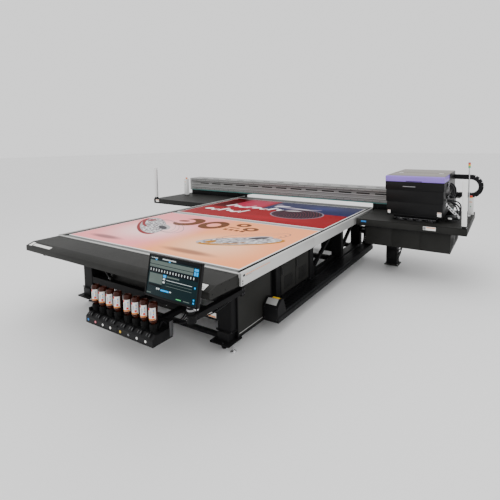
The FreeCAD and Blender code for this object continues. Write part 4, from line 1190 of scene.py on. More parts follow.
def make_chain_tray_trim():
    """End box's plate and label, and the tray's edge, bolts and brackets."""
    slope = math.degrees(math.atan2(55, 60))
    plate = box(1150, 1270, 505, 570, 312, 314.5, 1)
    parts = Parts()
    parts.put("silver", turned(plate, (1, 0, 0), slope, at(0, 530, 308)))
    parts.box("yellow", 1185, 1262, 566, 597, 334, 337, 0.8)
    parts.box("moulded", 1124, 1296, 498, 501, 150, 282, 4, "y")
    parts.put("bolt", studs([(x, 498.5, z) for x in (1140, 1280) for z in (160, 270)], "y", 6, 3, -1))
    parts.put("bolt", studs([(1300, y, 158) for y in range(560, 3300, 250)], "x", 6, 3))
    parts.box("frame", 1296.5, 1302, 500, 3300, 176, 181, 1.5, "y")
    for y in (1100, 2050, 2850):
        parts.box("frame", 1150, 1175, y, y + 60, 118, 131, 2)
    dress("chain_tray_trim", "machine", parts)


class PRINTER_OT_chains(Maker, Operator):
    """Make the two cable chains, link by link, and the trim of the long chain's tray"""
    bl_idname = "printer.chains"
    bl_label = "Cable chains"
    makers = (make_chain_runs, make_chain_bends, make_chain_tray_trim)


# ---- ink unit ----
BOTTLE_Y = -400
BOTTLE_X = tuple(first + 107 * k for first in (-95, 362) for k in range(4))
CHANNELS = ("blue", "pink_dot", "label", "label", "yellow", "grey_dot", "label", "label")
VALVE_X = (-120, 20, 160)


def curved_label(x, radius, start, stop, low, high):
    """Thin patch round a bottle: an arc between two angles in degrees, carried up from low to high."""
    angle = np.radians(np.linspace(start, stop, max(4, int((stop - start) / 5))))
    outer = np.stack([x + radius * np.cos(angle), BOTTLE_Y + radius * np.sin(angle)], -1)
    inner = np.stack([x + (radius - 1.5) * np.cos(angle), BOTTLE_Y + (radius - 1.5) * np.sin(angle)],
                     -1)[::-1]
    return prism(np.concatenate([outer, inner]), low, high, "z", 0)


BOTTLE_MARKS = (
    (-111, -14, 429, 441, "amber"), (-110, -84, 508, 527, "red"), (-42, -30, 499, 511, "blue"),
    (-42, -30, 485, 497, "yellow"), (-42, -30, 471, 483, "blue"), (-58, -30, 446, 464, "red"),
    (-84, -76, 452, 503, "grey_dot"), (-68, -63, 470, 500, "blue"),
)


def make_bottles():
    """Eight upturned bottles, each with its blank label and marks."""
    body = [(4, 334), (16, 334), (19, 337), (19, 350), (17, 352), (19, 354), (19, 390), (22, 396), (30, 404),
            (34, 412), (35, 420), (35, 424), (34.4, 426), (34.4, 536), (35, 538), (35, 549), (33.5, 555),
            (31, 560), (27, 563.5), (24, 565), (22, 563), (20, 560), (3, 559)]
    for number, x in enumerate(BOTTLE_X, 1):
        parts = Parts()
        parts.put("bottle", turned_part(body, x, BOTTLE_Y, 0, "z", 48))
        parts.put("label", curved_label(x, 35.2, -112, -8, 428, 528))
        for *mark, look in BOTTLE_MARKS:
            parts.put(look, curved_label(x, 35.5, *mark))
        dress("bottle_%d" % number, "bottle_%d" % number, parts, ("ink_bottle_%d" % number,))


def make_bottle_cups():
    """Ribbed cups under the bottles, and their ink lines."""
    parts = Parts()
    cup = [(30, 318.5), (29, 324), (26, 340), (26, 346), (31, 348), (32, 352), (32, 384), (30, 388.5),
           (22, 388.5), (21.5, 384), (21.5, 332), (4, 331)]
    for x in BOTTLE_X:
        parts.put("rubber", turned_part(cup, x, BOTTLE_Y, 0, "z", 28))
        for k in range(6):
            rib = box(x + 31, x + 35, BOTTLE_Y - 2, BOTTLE_Y + 2, 350, 383, 1)
            parts.put("moulded", turned(rib, (0, 0, 1), 60 * k, at(x, BOTTLE_Y, 0)))
        parts.put("hose", bowed((x + 18, -366, 330), (x + 30, -300, 345), (0, 0, 40), 4, 12, 8))
    dress("bottle_cups", "machine", parts, ("bottle_sockets",))


def make_ink_housing_trim():
    """Clips, channel dots, seams, ends and cables of the housing."""
    parts = Parts()
    tilt = math.degrees(math.atan2(22, 26))
    for x, look in zip(BOTTLE_X, CHANNELS):
        parts.put(look, turned_part([(11, 1), (11, -1.4), (9.5, -2.2)], x - 18, -470, 262, "y", 24))
        clip, notch = box(x - 21, x + 21, -466, -440, 310, 319, 3), box(x - 9, x + 9, -470, -438, 316, 323, 2)
        parts.put("clip", turned(clip, (1, 0, 0), tilt, at(x, -453, 314)))
        parts.put("moulded", turned(notch, (1, 0, 0), tilt, at(x, -453, 314)))
        parts.box("moulded", x - 26, x + 26, -432, -368, 318, 322, 2)
    for x0, x1 in ((-146, 292), (310, 748)):
        parts.box("moulded", x0, x1, -471.5, -468, 236, 244, 1.5, "x")
        parts.box("moulded", x0, x1, -471.2, -468, 280, 286, 1.5, "x")
    parts.box("rubber", 297, 305, -471.5, -300, 232, 300, 2)
    parts.box("clip", 748, 753, -302, -266, 244, 372, 3, "x")
    parts.box("moulded", 749, 752, -440, -302, 236, 318, 3, "x")
    parts.box("moulded", -154, -149, -440, -268, 232, 352, 3, "x")
    parts.box("moulded", -150, 750, -291, -268, 344, 372, 4, "x")
    parts.put("bolt", studs([(x, -470.5, 240) for x in (-130, 80, 280, 325, 530, 735)], "y", 5, 3, -1))
    for k in range(4):
        start, stop = (700 + 12 * k, -280, 360), (640 + 40 * k, 40, 470 + 20 * k)
        parts.put("hose", bowed(start, stop, (40, 0, -90 - 10 * k), 5, 20, 8))
    dress("ink_housing_trim", "machine", parts)


def make_valve_handles():
    """Three lever handles."""
    for number, x in enumerate(VALVE_X, 1):
        outline = np.array([(548, x - 12), (545, x + 10), (550, x + 88), (556, x + 96), (565, x + 96),
                            (570, x + 88), (575, x + 10), (572, x - 12)])
        lever = prism(outline, -122, -111, "y", 2.5)
        knob = turned_part([(15, 0), (15.5, 4), (15.5, 26), (12, 29)], x, -122, 560, "y", 24)
        dress("valve_handle_%d" % number, "valve_%d" % number, [(lever, "red"), (knob, "red")],
              ("valve_lever_%d" % number,))


def make_valve_fittings():
    """Brass nuts and hoses behind the levers."""
    nut, collar = [(20, 0), (24, 3), (24, 10), (20, 12)], [(18, 0), (20, 3), (20, 22), (14, 26)]
    parts = Parts()
    for x in VALVE_X:
        parts.put("brass", turned_part(nut, x, -92, 560, "y", 6))
    for x in VALVE_X:
        parts.put("brass", turned_part(collar, x, -50, 588, "z", 20))
    for x in VALVE_X:
        parts.put("hose", bowed((x, -50, 612), (x + 40, 110, 600), (0, 0, 60), 8))
    dress("valve_fittings", "machine", parts)


class PRINTER_OT_ink(Maker, Operator):
    """Make the eight ink bottles with blank labels, their cups, the clips and the channel dots"""
    bl_idname = "printer.ink"
    bl_label = "Ink unit"
    makers = (make_bottles, make_bottle_cups, make_ink_housing_trim, make_valve_handles, make_valve_fittings)


# ---- monitor ----
SCREEN_MID = (1090.0, -535.0, 870.0)
SCREEN_TILT = -11.5
ARM_PLACE = (1190, -470)
INTERFACE = (
    (-250, 120, 250, 136, "ui_dark"), (-246, 123, -170, 132, "ui_line"), (-120, 123, 20, 132, "ui_line"),
    (-192, 112, -176, 126, "ui_cyan"), (-52, 112, -36, 126, "ui_cyan"), (-246, 84, 196, 110, "ui_grey"),
    (-246, 62, 196, 80, "ui_grey"), (204, 92, 244, 110, "ui_cyan"), (204, 62, 222, 88, "ui_cyan"),
    (226, 62, 244, 88, "ui_cyan"), (-246, 26, 246, 56, "ui_dark"), (-236, -52, -98, 18, "ui_grey"),
    (-92, 2, -62, 20, "ui_cyan"), (-56, 6, 70, 16, "ui_grey"), (-92, -16, -70, -4, "ui_line"),
    (-92, -38, -70, -26, "ui_line"), (-56, -14, 200, -11, "ui_line"), (-56, -34, 200, -31, "ui_grey"),
    (-56, -54, 200, -51, "ui_grey"), (-236, -72, -98, -60, "ui_dark"), (-150, -92, -136, -80, "ui_line"),
    (-130, -92, -116, -80, "ui_line"), (-104, -96, -20, -84, "ui_cyan"), (-14, -92, 6, -84, "ui_line"),
    (220, -24, 234, -12, "ui_cyan"), (220, -104, 234, -92, "ui_cyan"), (220, -124, 234, -112, "ui_cyan"),
    (-246, -128, -200, -120, "ui_grey"), (60, -126, 110, -120, "ui_green"), (130, -126, 190, -120, "ui_grey"),
)


def make_touch_monitor():
    """Casing, rim and screen with its generic interface."""
    cx, cy, cz = SCREEN_MID

    def tipped(mesh):
        """The mesh tipped back with the screen."""
        return turned(mesh, (1, 0, 0), SCREEN_TILT, at(cx, cy, cz))

    def part(u0, u1, d0, d1, v0, v1, radius, axis="y"):
        """Block in the screen's own place: across, deep and up from its middle."""
        return tipped(box(cx + u0, cx + u1, cy + d0, cy + d1, cz + v0, cz + v1, radius, axis))

    parts = Parts()
    parts.put("moulded", part(-265, 265, -12, 17, -151, 151, 7))
    rim = [(-265, 265, 137, 151), (-265, 265, -151, -137), (-265, -251, -151, 151), (251, 265, -151, 151)]
    for u0, u1, v0, v1 in rim:
        parts.put("gloss", part(u0, u1, -17, -8, v0, v1, 3))
    parts.put("ui_base", part(-252, 252, -14.6, -10, -138, 138, 0.6))
    for u0, v0, u1, v1, look in INTERFACE:
        parts.put(look, part(u0, u1, -15.2, -14, v0, v1, 0.4))
    for k in range(16):
        parts.put("ui_line", part(-232 + 29 * k, -225 + 29 * k, -15.6, -14.5, 34, 50, 0.3))
    parts.put("moulded", part(-175, 235, 16, 27, -131, 91, 5))
    parts.put("frame", part(60, 140, 26, 34, -90, -10, 3))
    for k in range(12):
        parts.put("rubber", part(-150 + 20 * k, -140 + 20 * k, 26, 28, 50, 80, 1))
    for x in (1146, 1221):
        parts.box("frame", x, x + 13, -516, -467, 799, 825, 4)
    dress("touch_monitor", "monitor", parts, ("monitor",))


def make_monitor_knob():
    """Knob, rings and pivot of the arm."""
    knob = [(6, 0), (17, 2), (19, 6), (19, 26), (16, 31), (5, 33)]
    parts = Parts()
    parts.put("steel", turned_part(knob, 1222, -470, 663, "x", 9))
    parts.put("ground", turned_part([(33, 0), (35, 3), (35, 12), (33, 15)], *ARM_PLACE, 640, "z", 32))
    parts.put("ground", turned_part([(33, 0), (35, 3), (35, 10), (33, 13)], *ARM_PLACE, 672, "z", 32))
    parts.put("steel", turned_part([(13, 0), (15, 2), (15, 8), (13, 10)], 1236, -478, 812, "x", 20))
    dress("monitor_knob", "monitor_arm", parts)


def make_monitor_cable():
    """Monitor's cable, and the bracket's ring, bolts and rib."""
    parts = Parts()
    parts.put("hose", bowed((1150, -440, 552), (1160, 60, 545), (0, 0, -45), 5))
    parts.put("frame", turned_part([(34, 0), (37, 3), (37, 12), (34, 15)], *ARM_PLACE, 592, "z", 32))
    parts.put("bolt", studs([(1215, 90 + d, z) for d in (-12, 12) for z in (560, 600)], "x", 7, 5))
    parts.put("frame", prism([(70, 540), (-60, 560), (70, 560)], 1187, 1193, "x", 0.5))
    dress("monitor_cable", "machine", parts)


class PRINTER_OT_monitor(Maker, Operator):
    """Make the touch monitor with a generic interface, and its knob and bracket trim"""
    bl_idname = "printer.monitor"
    bl_label = "Monitor"
    makers = (make_touch_monitor, make_monitor_knob, make_monitor_cable)


# ---- gantry ----
BEAM_Y = 3150
BEAM_ENDS = (-2580, 2500)
RAILS_Z = (930, 1092)
CARRIAGE_LEFT, CARRIAGE_RIGHT, CARRIAGE_FRONT = 1730, 2470, 2500
SWITCH_BOXES = (("left", -2530, 3000, 1125), ("right", 2712, 3340, 1045))
TOWER_PLACE = (2690, 3240)


def make_beam_trim():
    """Lines, slots, rails, screws and end caps of the beam."""
    detail = bpy.context.scene.printer_detail
    left, right = BEAM_ENDS
    parts = Parts()
    for z0, z1, look, out in ((893, 905, "teal", 4.5), (948, 953, "rubber", 1.2), (956, 961, "silver", 2.5),
                              (1004, 1009, "rubber", 1.2), (1012, 1018, "silver", 2.5),
                              (1068, 1073, "rubber", 1.2), (1108, 1114, "rubber", 1.0)):
        parts.box(look, left + 42, right - 2, BEAM_Y - out, BEAM_Y + 1, z0, z1, 0.8, "x")
    step = (right - left - 500) / detail.slot_count
    for k in range(detail.slot_count):
        x = left + 250 + step * (k + 0.5)
        parts.box("rubber", x - 0.36 * step, x + 0.36 * step, BEAM_Y - 2.0, BEAM_Y + 1, 1028, 1046, 1.5, "y")
        parts.box("rubber", x - 0.36 * step, x + 0.10 * step, 3184, 3216, 1129, 1131.2, 1.0)
        parts.put("steel", studs([(x + 0.45 * step, 3200, 1130)], "z", 7, 2.5))
    parts.box("rubber", left, right, 3236, 3242, 1129, 1131, 0.8, "x")
    parts.box("rubber", left, right, 3440, 3451, 1086, 1094, 2, "x")
    parts.box("rubber", left, right, 3440, 3451, 960, 966, 2, "x")
    for x in (left - 5, right):
        parts.box("moulded", x, x + 5, 3152, 3448, 893, 1128, 8, "x")
        face, way = (x, -1) if x < 0 else (x + 5, 1)
        parts.put("steel", studs([(face, y, z) for y in (3180, 3420) for z in (920, 1100)], "x", 8, 4, way))
    for z in RAILS_Z:
        places = [(x, 3127.5, z) for x in range(left + 80, right, 120)]
        parts.put("rubber", studs(places, "y", 5, 1.2, -1, 8))
    dress("beam_trim", "gantry", parts)


def make_gantry_fittings():
    """Pads, caps, bolts and cables between the beam and its uprights."""
    base = Parts()
    for x0, x1 in ((-2560, -1372), (1372, 1700)):
        base.box("frame", x0 + 4, x1 - 4, 3163, 3171, 806, 884, 3, "x")
        count_x = max(2, int((x1 - x0) / 190))
        base.put("bolt",
                 studs([(x0 + 40 + k * (x1 - x0 - 80) / (count_x - 1), 3163.5, 822) for k in range(count_x)],
                       "y", 7, 4, -1))
    base.box("moulded", -1360, -1170, 3166, 3172, 852, 888, 2, "x")
    ends = Parts()
    ends.box("frame", 1368, 1376, 2910, 3440, 650, 790, 6, "x")
    ends.put("bolt", studs([(1372, y, z) for y in (2960, 3120, 3260, 3400) for z in (665, 725)], "x", 9, 6))
    ends.box("frame", 1338, 1372, 3158, 3452, 742, 886, 5)
    base += [(mirrored(m), look) for m, look in ends] + ends
    for k in range(3):
        base.put("hose", bowed((1240 + 18 * k, 3060, 520), (1352, 3300, 780 + 20 * k), (90, -60, -30), 9))
    dress("gantry_fittings", "gantry", base)


class PRINTER_OT_beam(Maker, Operator):
    """Make the beam's skin lines, slots, rails, end caps and the pads under it"""
    bl_idname = "printer.beam"
    bl_label = "Gantry beam"
    makers = (make_beam_trim, make_gantry_fittings)


def make_carriage_skin():
    """Three stepped bands, and the rear cover's sides, top, back and grille."""
    parts = Parts()
    for z0, z1, inset in ((881, 1047, 16), (1051, 1207, 8), (1211, 1317, 0)):
        x0, x1, y0 = CARRIAGE_LEFT + inset, CARRIAGE_RIGHT - inset, CARRIAGE_FRONT + inset
        parts.box("carriage", x0 - 1.5, x1 + 1.5, y0 - 1.8, y0 + 8, z0 + 2, z1, 4, "x")
        for side in ((x0 - 1.8, x0 + 6), (x1 - 6, x1 + 1.8)):
            parts.box("carriage", *side, y0 + 4, 3106, z0 + 2, z1, 4, "y")
        parts.put("moulded",
                  studs([(x, y0 - 1.5, z0 + 14) for x in (x0 + 20, (x0 + x1) / 2, x1 - 20)], "y", 4, 1.6, -1))
        parts.put("moulded", studs([(x1 + 1.5, y, z0 + 14) for y in (2560, 2800, 3060)], "x", 4, 1.6))
    parts.box("moulded", 1752, 2448, 2508, 2518, 868, 884, 3, "x")
    parts.box("ground", 1960, 2120, 2497.2, 2502, 1252, 1262, 1.0, "y")
    parts.box("label", 1760, 1796, 2512.6, 2518.5, 890, 930, 0.5, "y")
    parts.box("orange", 1763, 1793, 2512, 2516, 922, 927, 0.4, "y")
    parts.box("label", 2390, 2440, 2512.6, 2518.5, 890, 945, 0.5, "y")
    parts.box("orange", 2394, 2436, 2512, 2516, 934, 941, 0.4, "y")
    cover = [(2953, 1319.5), (2953, 1396), (2960, 1399.5), (3556, 1405.5), (3568, 1402), (3574, 1392),
             (3574, 1154), (3566, 1151), (3112, 1151), (3110, 1319.5)]
    for x in (CARRIAGE_LEFT, CARRIAGE_RIGHT):
        parts.put("carriage", prism(cover, x - 2, x + 2, "x", 0.8))
    parts.put("rear",
              turned(box(1731, 2469, 2955, 3560, 1398.8, 1401.5, 1), (1, 0, 0), 0.56, at(0, 2955, 1399)))
    parts.box("carriage", 1733, 2467, 3571, 3575.5, 1160, 1388, 3, "x")
    for k in range(12):
        parts.box("rubber", 1800 + 26 * k, 1814 + 26 * k, 3574, 3577, 1200, 1330, 1)
    dress("carriage_skin", "carriage", parts)


def make_carriage_inside():
    """Ink tanks with their lines, the board and the cooling block below the lid."""
    inside = Parts()
    inside.box("ground", 1760, 2440, 2530, 3090, 1091, 1096, 1)
    tank = [(20, 0), (24, 3), (24, 78), (20, 84), (9, 86), (9, 98), (3, 99)]
    band = [(25, 30), (25.5, 32), (25.5, 58), (25, 60)]
    for k, look in enumerate(("blue", "red", "yellow", "moulded", "label", "label", "ground", "ground")):
        x = 1802 + 84 * k
        inside.put("bottle", turned_part(tank, x, 2640, 1096, "z", 24))
        inside.put(look, turned_part(band, x, 2640, 1096, "z", 24))
        inside.put("hose", bowed((x, 2640, 1192), (1850 + 60 * k, 3000, 1120), (0, 0, 70), 5, 18, 8))
    inside.box("green", 1800, 2120, 2780, 2960, 1100, 1106, 2)
    inside.box("silver", 2160, 2400, 2780, 2960, 1096, 1180, 6)
    for k in range(10):
        x, y = 1815 + 30 * k, 2800 + 40 * (k % 3)
        inside.box("moulded", x, x + 20, y, y + 26, 1106, 1118, 1)
    for k in range(9):
        inside.box("silver", 2172 + 25 * k, 2178 + 25 * k, 2786, 2954, 1178, 1196, 1)
    dress("carriage_inside", "carriage", inside)


def make_lid_skin():
    """Folded lid: its front, top and cheeks."""
    top = [(2499, 1321), (2498.4, 1378), (2503, 1386), (2514, 1391), (2560, 1393), (2560, 1389),
           (2506, 1380), (2506, 1321)]
    lid = Parts()
    lid.put("lavender", prism(top, 1729, 2471, "x", 1.2))
    lid.put("rear",
            turned(box(1731, 2469, 2560, 2948, 1391.5, 1395.2, 1.5), (1, 0, 0), 0.9, at(0, 2560, 1392)))
    lid.box("lavender", 1728.4, 1732, 2500, 2949, 1322, 1380, 1.5, "y")
    lid.box("lavender", 2468, 2471.6, 2500, 2949, 1322, 1380, 1.5, "y")
    lid.box("moulded", 2000, 2200, 2496.6, 2500, 1323, 1330, 1.5, "x")
    dress("lid_skin", "lid", lid)


def make_lid_hinges():
    """Two hinge knuckles."""
    parts = Parts()
    for x in (1800, 2340):
        parts.put("steel", turned_part([(6, 0), (7, 1), (7, 59), (6, 60)], x, 2951, 1399, "x", 16))
    dress("lid_hinges", "carriage", parts)


def make_carriage_hose_set():
    """Bowed hoses between two blocks on the right face."""
    parts = Parts()
    for y0, y1, z0, z1 in ((2760, 2950, 1240, 1300), (2760, 2950, 1080, 1130)):
        parts.box("moulded", 2470, 2481, y0, y1, z0, z1, 4, "x")
        parts.put("steel",
                  studs([(2481, y, z) for y in (y0 + 12, y1 - 12) for z in (z0 + 12, z1 - 12)], "x", 6, 4))
    for y, z0, z1, out, radius in ((2830, 1105, 1270, 62, 15), (2885, 1090, 1285, 80, 13),
                                   (2790, 1118, 1256, 48, 9), (2925, 1100, 1276, 58, 8)):
        angle = np.linspace(-math.pi / 2, math.pi / 2, 26)
        path = [(2480 + out * math.cos(a), y, (z0 + z1) / 2 + (z1 - z0) / 2 * math.sin(a)) for a in angle]
        parts.put("hose", hose(path, radius))
        for z in (z0, z1):
            collar = [(radius + 2, 0), (radius + 4, 2), (radius + 4, 12), (radius + 2, 14)]
            parts.put("ground", turned_part(collar, 2478, y, z, "x", 20))
    dress("carriage_hose_set", "carriage", parts, ("carriage_hoses",))


def make_slotted_bracket():
    """Slanted bracket with slots, its ends and the hoses beside it."""
    parts = Parts()
    about = at(2472, 2642, 1034)
    parts.put("steel", turned(box(2472, 2700, 2640, 2645, 1016, 1052, 3, "y"), (0, 1, 0), 44, about))
    for k in range(5):
        slot = box(2490 + 38 * k, 2516 + 38 * k, 2638.5, 2646.5, 1026, 1042, 5, "y")
        parts.put("rubber", turned(slot, (0, 1, 0), 44, about))
    parts.box("steel", 2466, 2490, 2630, 2660, 1010, 1056, 4)
    parts.box("steel", 2618, 2640, 2636, 2662, 858, 884, 4)
    parts.put("hose", bowed((2480, 2700, 1075), (2636, 2700, 868), (60, 0, 40), 10))
    parts.put("hose", bowed((2480, 2735, 1075), (2620, 2740, 862), (80, 0, 70), 9))
    parts.put("hose", bowed((2480, 2770, 1075), (2600, 2780, 862), (40, 0, 20), 9))
    parts.box("moulded", 2470, 2640, 2660, 2840, 838, 866, 5)
    parts.box("label", 2500, 2545, 2657, 2661, 842, 864, 0.5, "y")
    dress("slotted_bracket", "carriage", parts)


def make_rail_blocks():
    """Four bearing blocks on the beam's rails."""
    shoes = Parts()
    for z in RAILS_Z:
        for x in (1790, 2270):
            shoes.box("steel", x + 4, x + 136, 3104, 3112, z - 22, z + 22, 3, "x")
    dress("rail_blocks", "carriage", shoes)


def make_head_plates():
    """Nozzle plates, lamp glasses and the head block's outer skin."""
    heads = Parts()
    for x in (1940, 2030, 2120, 2210):
        heads.box("steel", x, x + 50, 2650, 2940, 814.8, 816.5, 0.5)
    for x in (1848, 2300):
        heads.box("lens", x, x + 52, 2612, 2982, 817.5, 820, 1)
    heads.box("carriage", 1829, 2371, 2564, 2568, 832, 992, 3, "x")
    heads.box("carriage", 2366, 2371, 2568, 3074, 832, 992, 3, "y")
    dress("head_plates", "heads", heads)


class PRINTER_OT_carriage(Maker, Operator):
    """Make the carriage's band edges, rear cover, inner tanks, hoses and slotted bracket"""
    bl_idname = "printer.carriage"
    bl_label = "Print carriage"
    makers = (make_carriage_skin, make_carriage_inside, make_lid_skin, make_lid_hinges,
              make_carriage_hose_set, make_slotted_bracket, make_rail_blocks, make_head_plates)


# ---- service station ----
def make_deck_edges():
    """Rims, lower edges and screws of the two decks."""
    parts = Parts()
    for x0, x1, y0, y1, z0 in ((1371, 2750, 2360, 3600, 715), (-2700, -1371, 2330, 3500, 730)):
        parts.box("panel", x0, x1, y0 - 1.8, y0 + 4, z0 + 3, 797, 3, "x")
        parts.box("moulded", x0, x1, y0 - 2.4, y0 + 6, z0 - 0.5, z0 + 5, 2, "x")
        parts.box("frame", x0, x1, y0 - 0.5, y0 + 6, 797, 801.6, 1.5, "x")
        parts.box("panel", x0, x1, y1 - 4, y1 + 1.8, z0 + 3, 797, 3, "x")
        side = x1 if x1 > 0 else x0
        parts.box("panel", side - 2, side + 2, y0 + 4, y1 - 4, z0 + 3, 797, 1.5, "y")
        parts.put("moulded",
                  studs([(x, y0 - 1.5, z0 + 16) for x in np.linspace(x0 + 40, x1 - 40, 6)], "y", 5, 2.4, -1))
        parts.put("moulded",
                  studs([(x, y, 800.2) for x in (x0 + 40, x1 - 40) for y in (y0 + 40, y1 - 40)], "z", 6, 2.5))
    parts.box("rubber", -2690, -1380, 2328, 2336, 716, 730, 2, "x")
    parts.box("rubber", 1372, 1810, 2800, 2803, 799.4, 801, 0.8, "x")
    parts.box("rubber", 2390, 2749, 2800, 2803, 799.4, 801, 0.8, "x")
    dress("deck_edges", "gantry", parts)


def make_deck_labels():
    """Blank labels on the decks' fronts."""
    labels = Parts()
    labels.box("label", 2250, 2400, 2356.6, 2359, 742, 786, 0.5)
    labels.box("ground", 2254, 2282, 2355.9, 2358, 746, 782, 0.4)
    labels.box("orange", 2290, 2394, 2355.9, 2358, 770, 780, 0.4)
    labels.box("blue", 1440, 1510, 2356.6, 2359, 762, 782, 0.5)
    labels.box("label", 2735, 2751.6, 2392, 2470, 746, 790, 0.5)
    labels.box("label", -2640, -2560, 2326.6, 2329, 745, 790, 0.5)
    labels.box("orange", -2636, -2564, 2326, 2328, 776, 786, 0.4)
    dress("deck_labels", "gantry", labels)


def make_station_skin():
    """Doors and louvres of the station, and the hanging column's covers and hoses."""
    body = Parts()
    for x0, x1 in ((1474, 1830), (1836, 2192), (2198, 2556)):
        body.box("panel", x0, x1, 2446.5, 2452, 456, 711, 5, "x")
        body.box("moulded", (x0 + x1) / 2 - 40, (x0 + x1) / 2 + 40, 2444, 2448, 684, 698, 3, "x")
        body.put("moulded",
                 studs([(x, 2447, z) for x in (x0 + 18, x1 - 18) for z in (472, 696)], "y", 5, 2.4, -1))
    for y0, y1 in ((2456, 2870), (2876, 3294)):
        body.box("panel", 2557, 2563, y0, y1, 456, 711, 5, "y")
        for k in range(8):
            body.box("rubber", 2562, 2565, y0 + 60, y1 - 60, 500 + 16 * k, 508 + 16 * k, 1.2, "y")
        body.box("panel", 1467, 1473, y0, y1, 456, 711, 5, "y")
    body.box("panel", 1474, 2556, 3298, 3303, 456, 711, 4, "x")
    body.box("frame", 1634, 1786, 2894, 2900, 64, 440, 4, "x")
    body.box("frame", 1780, 1786, 2904, 3046, 64, 440, 4, "y")
    body.box("moulded", 1655, 1765, 2888, 2895, 300, 400, 4)
    body.box("moulded", 1655, 1765, 2888, 2895, 150, 260, 4)
    body.box("frame", 1600, 1820, 2870, 3080, 440, 452, 5)
    body.put("steel", studs([(x, y, 60) for x in (1622, 1798) for y in (2892, 3058)], "z", 7, 7))
    body.box("blue", 1700, 1722, 2884, 2892, 345, 372, 1)
    for k in range(3):
        body.put("hose", bowed((1790 + 14 * k, 2960, 448), (1786, 2960, 130 + 60 * k), (46 + 8 * k, 0, 0), 8))
    body.put("hose", bowed((1468, 2600, 640), (1375, 2950, 640), (-50, 0, -60), 14))
    body.put("hose", bowed((1468, 2700, 600), (1375, 3000, 620), (-60, 0, -70), 12))
    body.put("hose", bowed((1468, 2520, 690), (1380, 2900, 690), (-30, 0, -90), 10))
    dress("station_skin", "gantry", body)


def make_cap_pads():
    """Capping pads, wiper, rail and screws."""
    caps = Parts()
    for k in range(4):
        x = 1860 + 125 * k
        caps.box("rubber", x + 4, x + 81, 2644, 2986, 790, 796.2, 2)
        caps.box("label", x + 16, x + 69, 2660, 2970, 792, 796.5, 1)
    caps.box("rubber", 1850, 2350, 3019, 3031, 784, 799, 3)
    caps.box("steel", 1834, 2366, 2594, 2600, 770, 786, 2, "x")
    caps.put("steel", studs([(x, y, 784) for x in (1845, 2355) for y in (2606, 3056)], "z", 7, 4))
    dress("cap_pads", "caps", caps)


class PRINTER_OT_station(Maker, Operator):
    """Make the two decks' rims, the station's doors, pads, labels and hanging column"""
    bl_idname = "printer.station"
    bl_label = "Decks and station"
    makers = (make_deck_edges, make_deck_labels, make_station_skin, make_cap_pads)


def make_safety_pillars():
    """Two white pillars with lenses and feet."""
    pillars = Parts()
    for x, y, half, top in ((-2665, 2365, 25, 1390), (2716, 2394, 28, 1370)):
        pillars.box("white", x - half, x + half, y - half, y + half, 826, top - 4, 9, "z", 4)
        pillars.box("white", x - half, x + half, y - half, y + half, top - 14, top, 7, "z", 4)
        inner = x + half if x < 0 else x - half
        pillars.box("lens", inner - 1.5, inner + 1.5, y + 6, y + 14, 860, top - 40, 1)
        pillars.box("moulded", x - half - 6, x + half + 6, y - half - 6, y + half + 6, 800, 812, 5)
        pillars.box("moulded", x - half - 2, x + half + 2, y - half - 2, y + half + 2, 811, 830, 6)
        pillars.put("steel",
                    studs([(x + a, y + b, 812) for a in (-half, half) for b in (-half, half)], "z", 4, 3))
    dress("safety_pillars", "gantry", pillars, ("sensor_pillars",))


def make_switch_box_trim():
    """The boxes' doors, feet, yellow rings, labels and start buttons."""
    boxes = Parts()
    for _, x, y, top in SWITCH_BOXES:
        boxes.box("white", x - 37, x + 37, y - 35, y - 33, 812, top - 8, 3, "x")
        boxes.box("moulded", x - 37.5, x + 37.5, y - 35.5, y + 35.5, 800, 808, 4)
        ring = [(12.5, 0), (26, 0.2), (27, 2), (26, 4.6), (22, 5.4), (12.5, 5.4)]
        boxes.put("yellow", turned_part(ring, x, y, top, "z", 36))
        boxes.put("steel",
                  studs([(x + a, y - 35, z) for a in (-26, 26) for z in (824, top - 22)], "y", 4, 1.6, -1))
        boxes.box("label", x - 22, x + 22, y - 36.4, y - 34.6, top - 90, top - 50, 0.5)
        boxes.box("orange", x - 20, x + 20, y - 37, y - 36, top - 62, top - 53, 0.3)
        boxes.put("green", turned_part([(7, 0), (7, -3), (5, -4)], x, y - 35, top - 120, "y", 18))
    dress("switch_box_trim", "gantry", boxes)


def make_stop_heads():
    """Mushroom heads of the two stop buttons."""
    head = [(11, -8), (11, 6), (17, 8.5), (20.6, 12), (21, 17), (19.5, 20.5), (15, 22.6), (8, 23.4),
            (2, 23.6)]
    for side, x, y, top in SWITCH_BOXES:
        parts = [(turned_part(head, x, y, top + 5, "z", 36), "red")]
        dress("stop_head_" + side, "stop_" + side, parts, ("stop_button_" + side,))


def make_signal_tower():
    """Pole with three lamps and a cap."""
    tower = [(30, 800), (30, 806), (26, 812), (12, 816), (8.2, 820), (8.2, 1468), (15, 1471), (16.5, 1474)]
    parts = Parts()
    parts.put("steel", turned_part(tower, *TOWER_PLACE, 0, "z", 28))
    for z, look in ((1475, "green"), (1499, "yellow"), (1522, "red")):
        lamp = [(15.4, z), (16.4, z + 1), (16.4, z + 20), (15.4, z + 21)]
        parts.put(look, turned_part(lamp, *TOWER_PLACE, 0, "z", 32))
        parts.put("steel",
                  turned_part([(16.6, z + 21), (16.8, z + 22.6), (15, z + 23.4)], *TOWER_PLACE, 0, "z", 32))
    parts.put("ground",
              turned_part([(16, 1544), (15, 1549), (11, 1550.6), (3, 1551)], *TOWER_PLACE, 0, "z", 28))
    dress("signal_tower", "gantry", parts, ("tower_light",))


class PRINTER_OT_switches(Maker, Operator):
    """Make the sensor pillars, switch boxes, stop buttons and the signal tower"""
    bl_idname = "printer.switches"
    bl_label = "Switches and lights"
    makers = (make_safety_pillars, make_switch_box_trim, make_stop_heads, make_signal_tower)


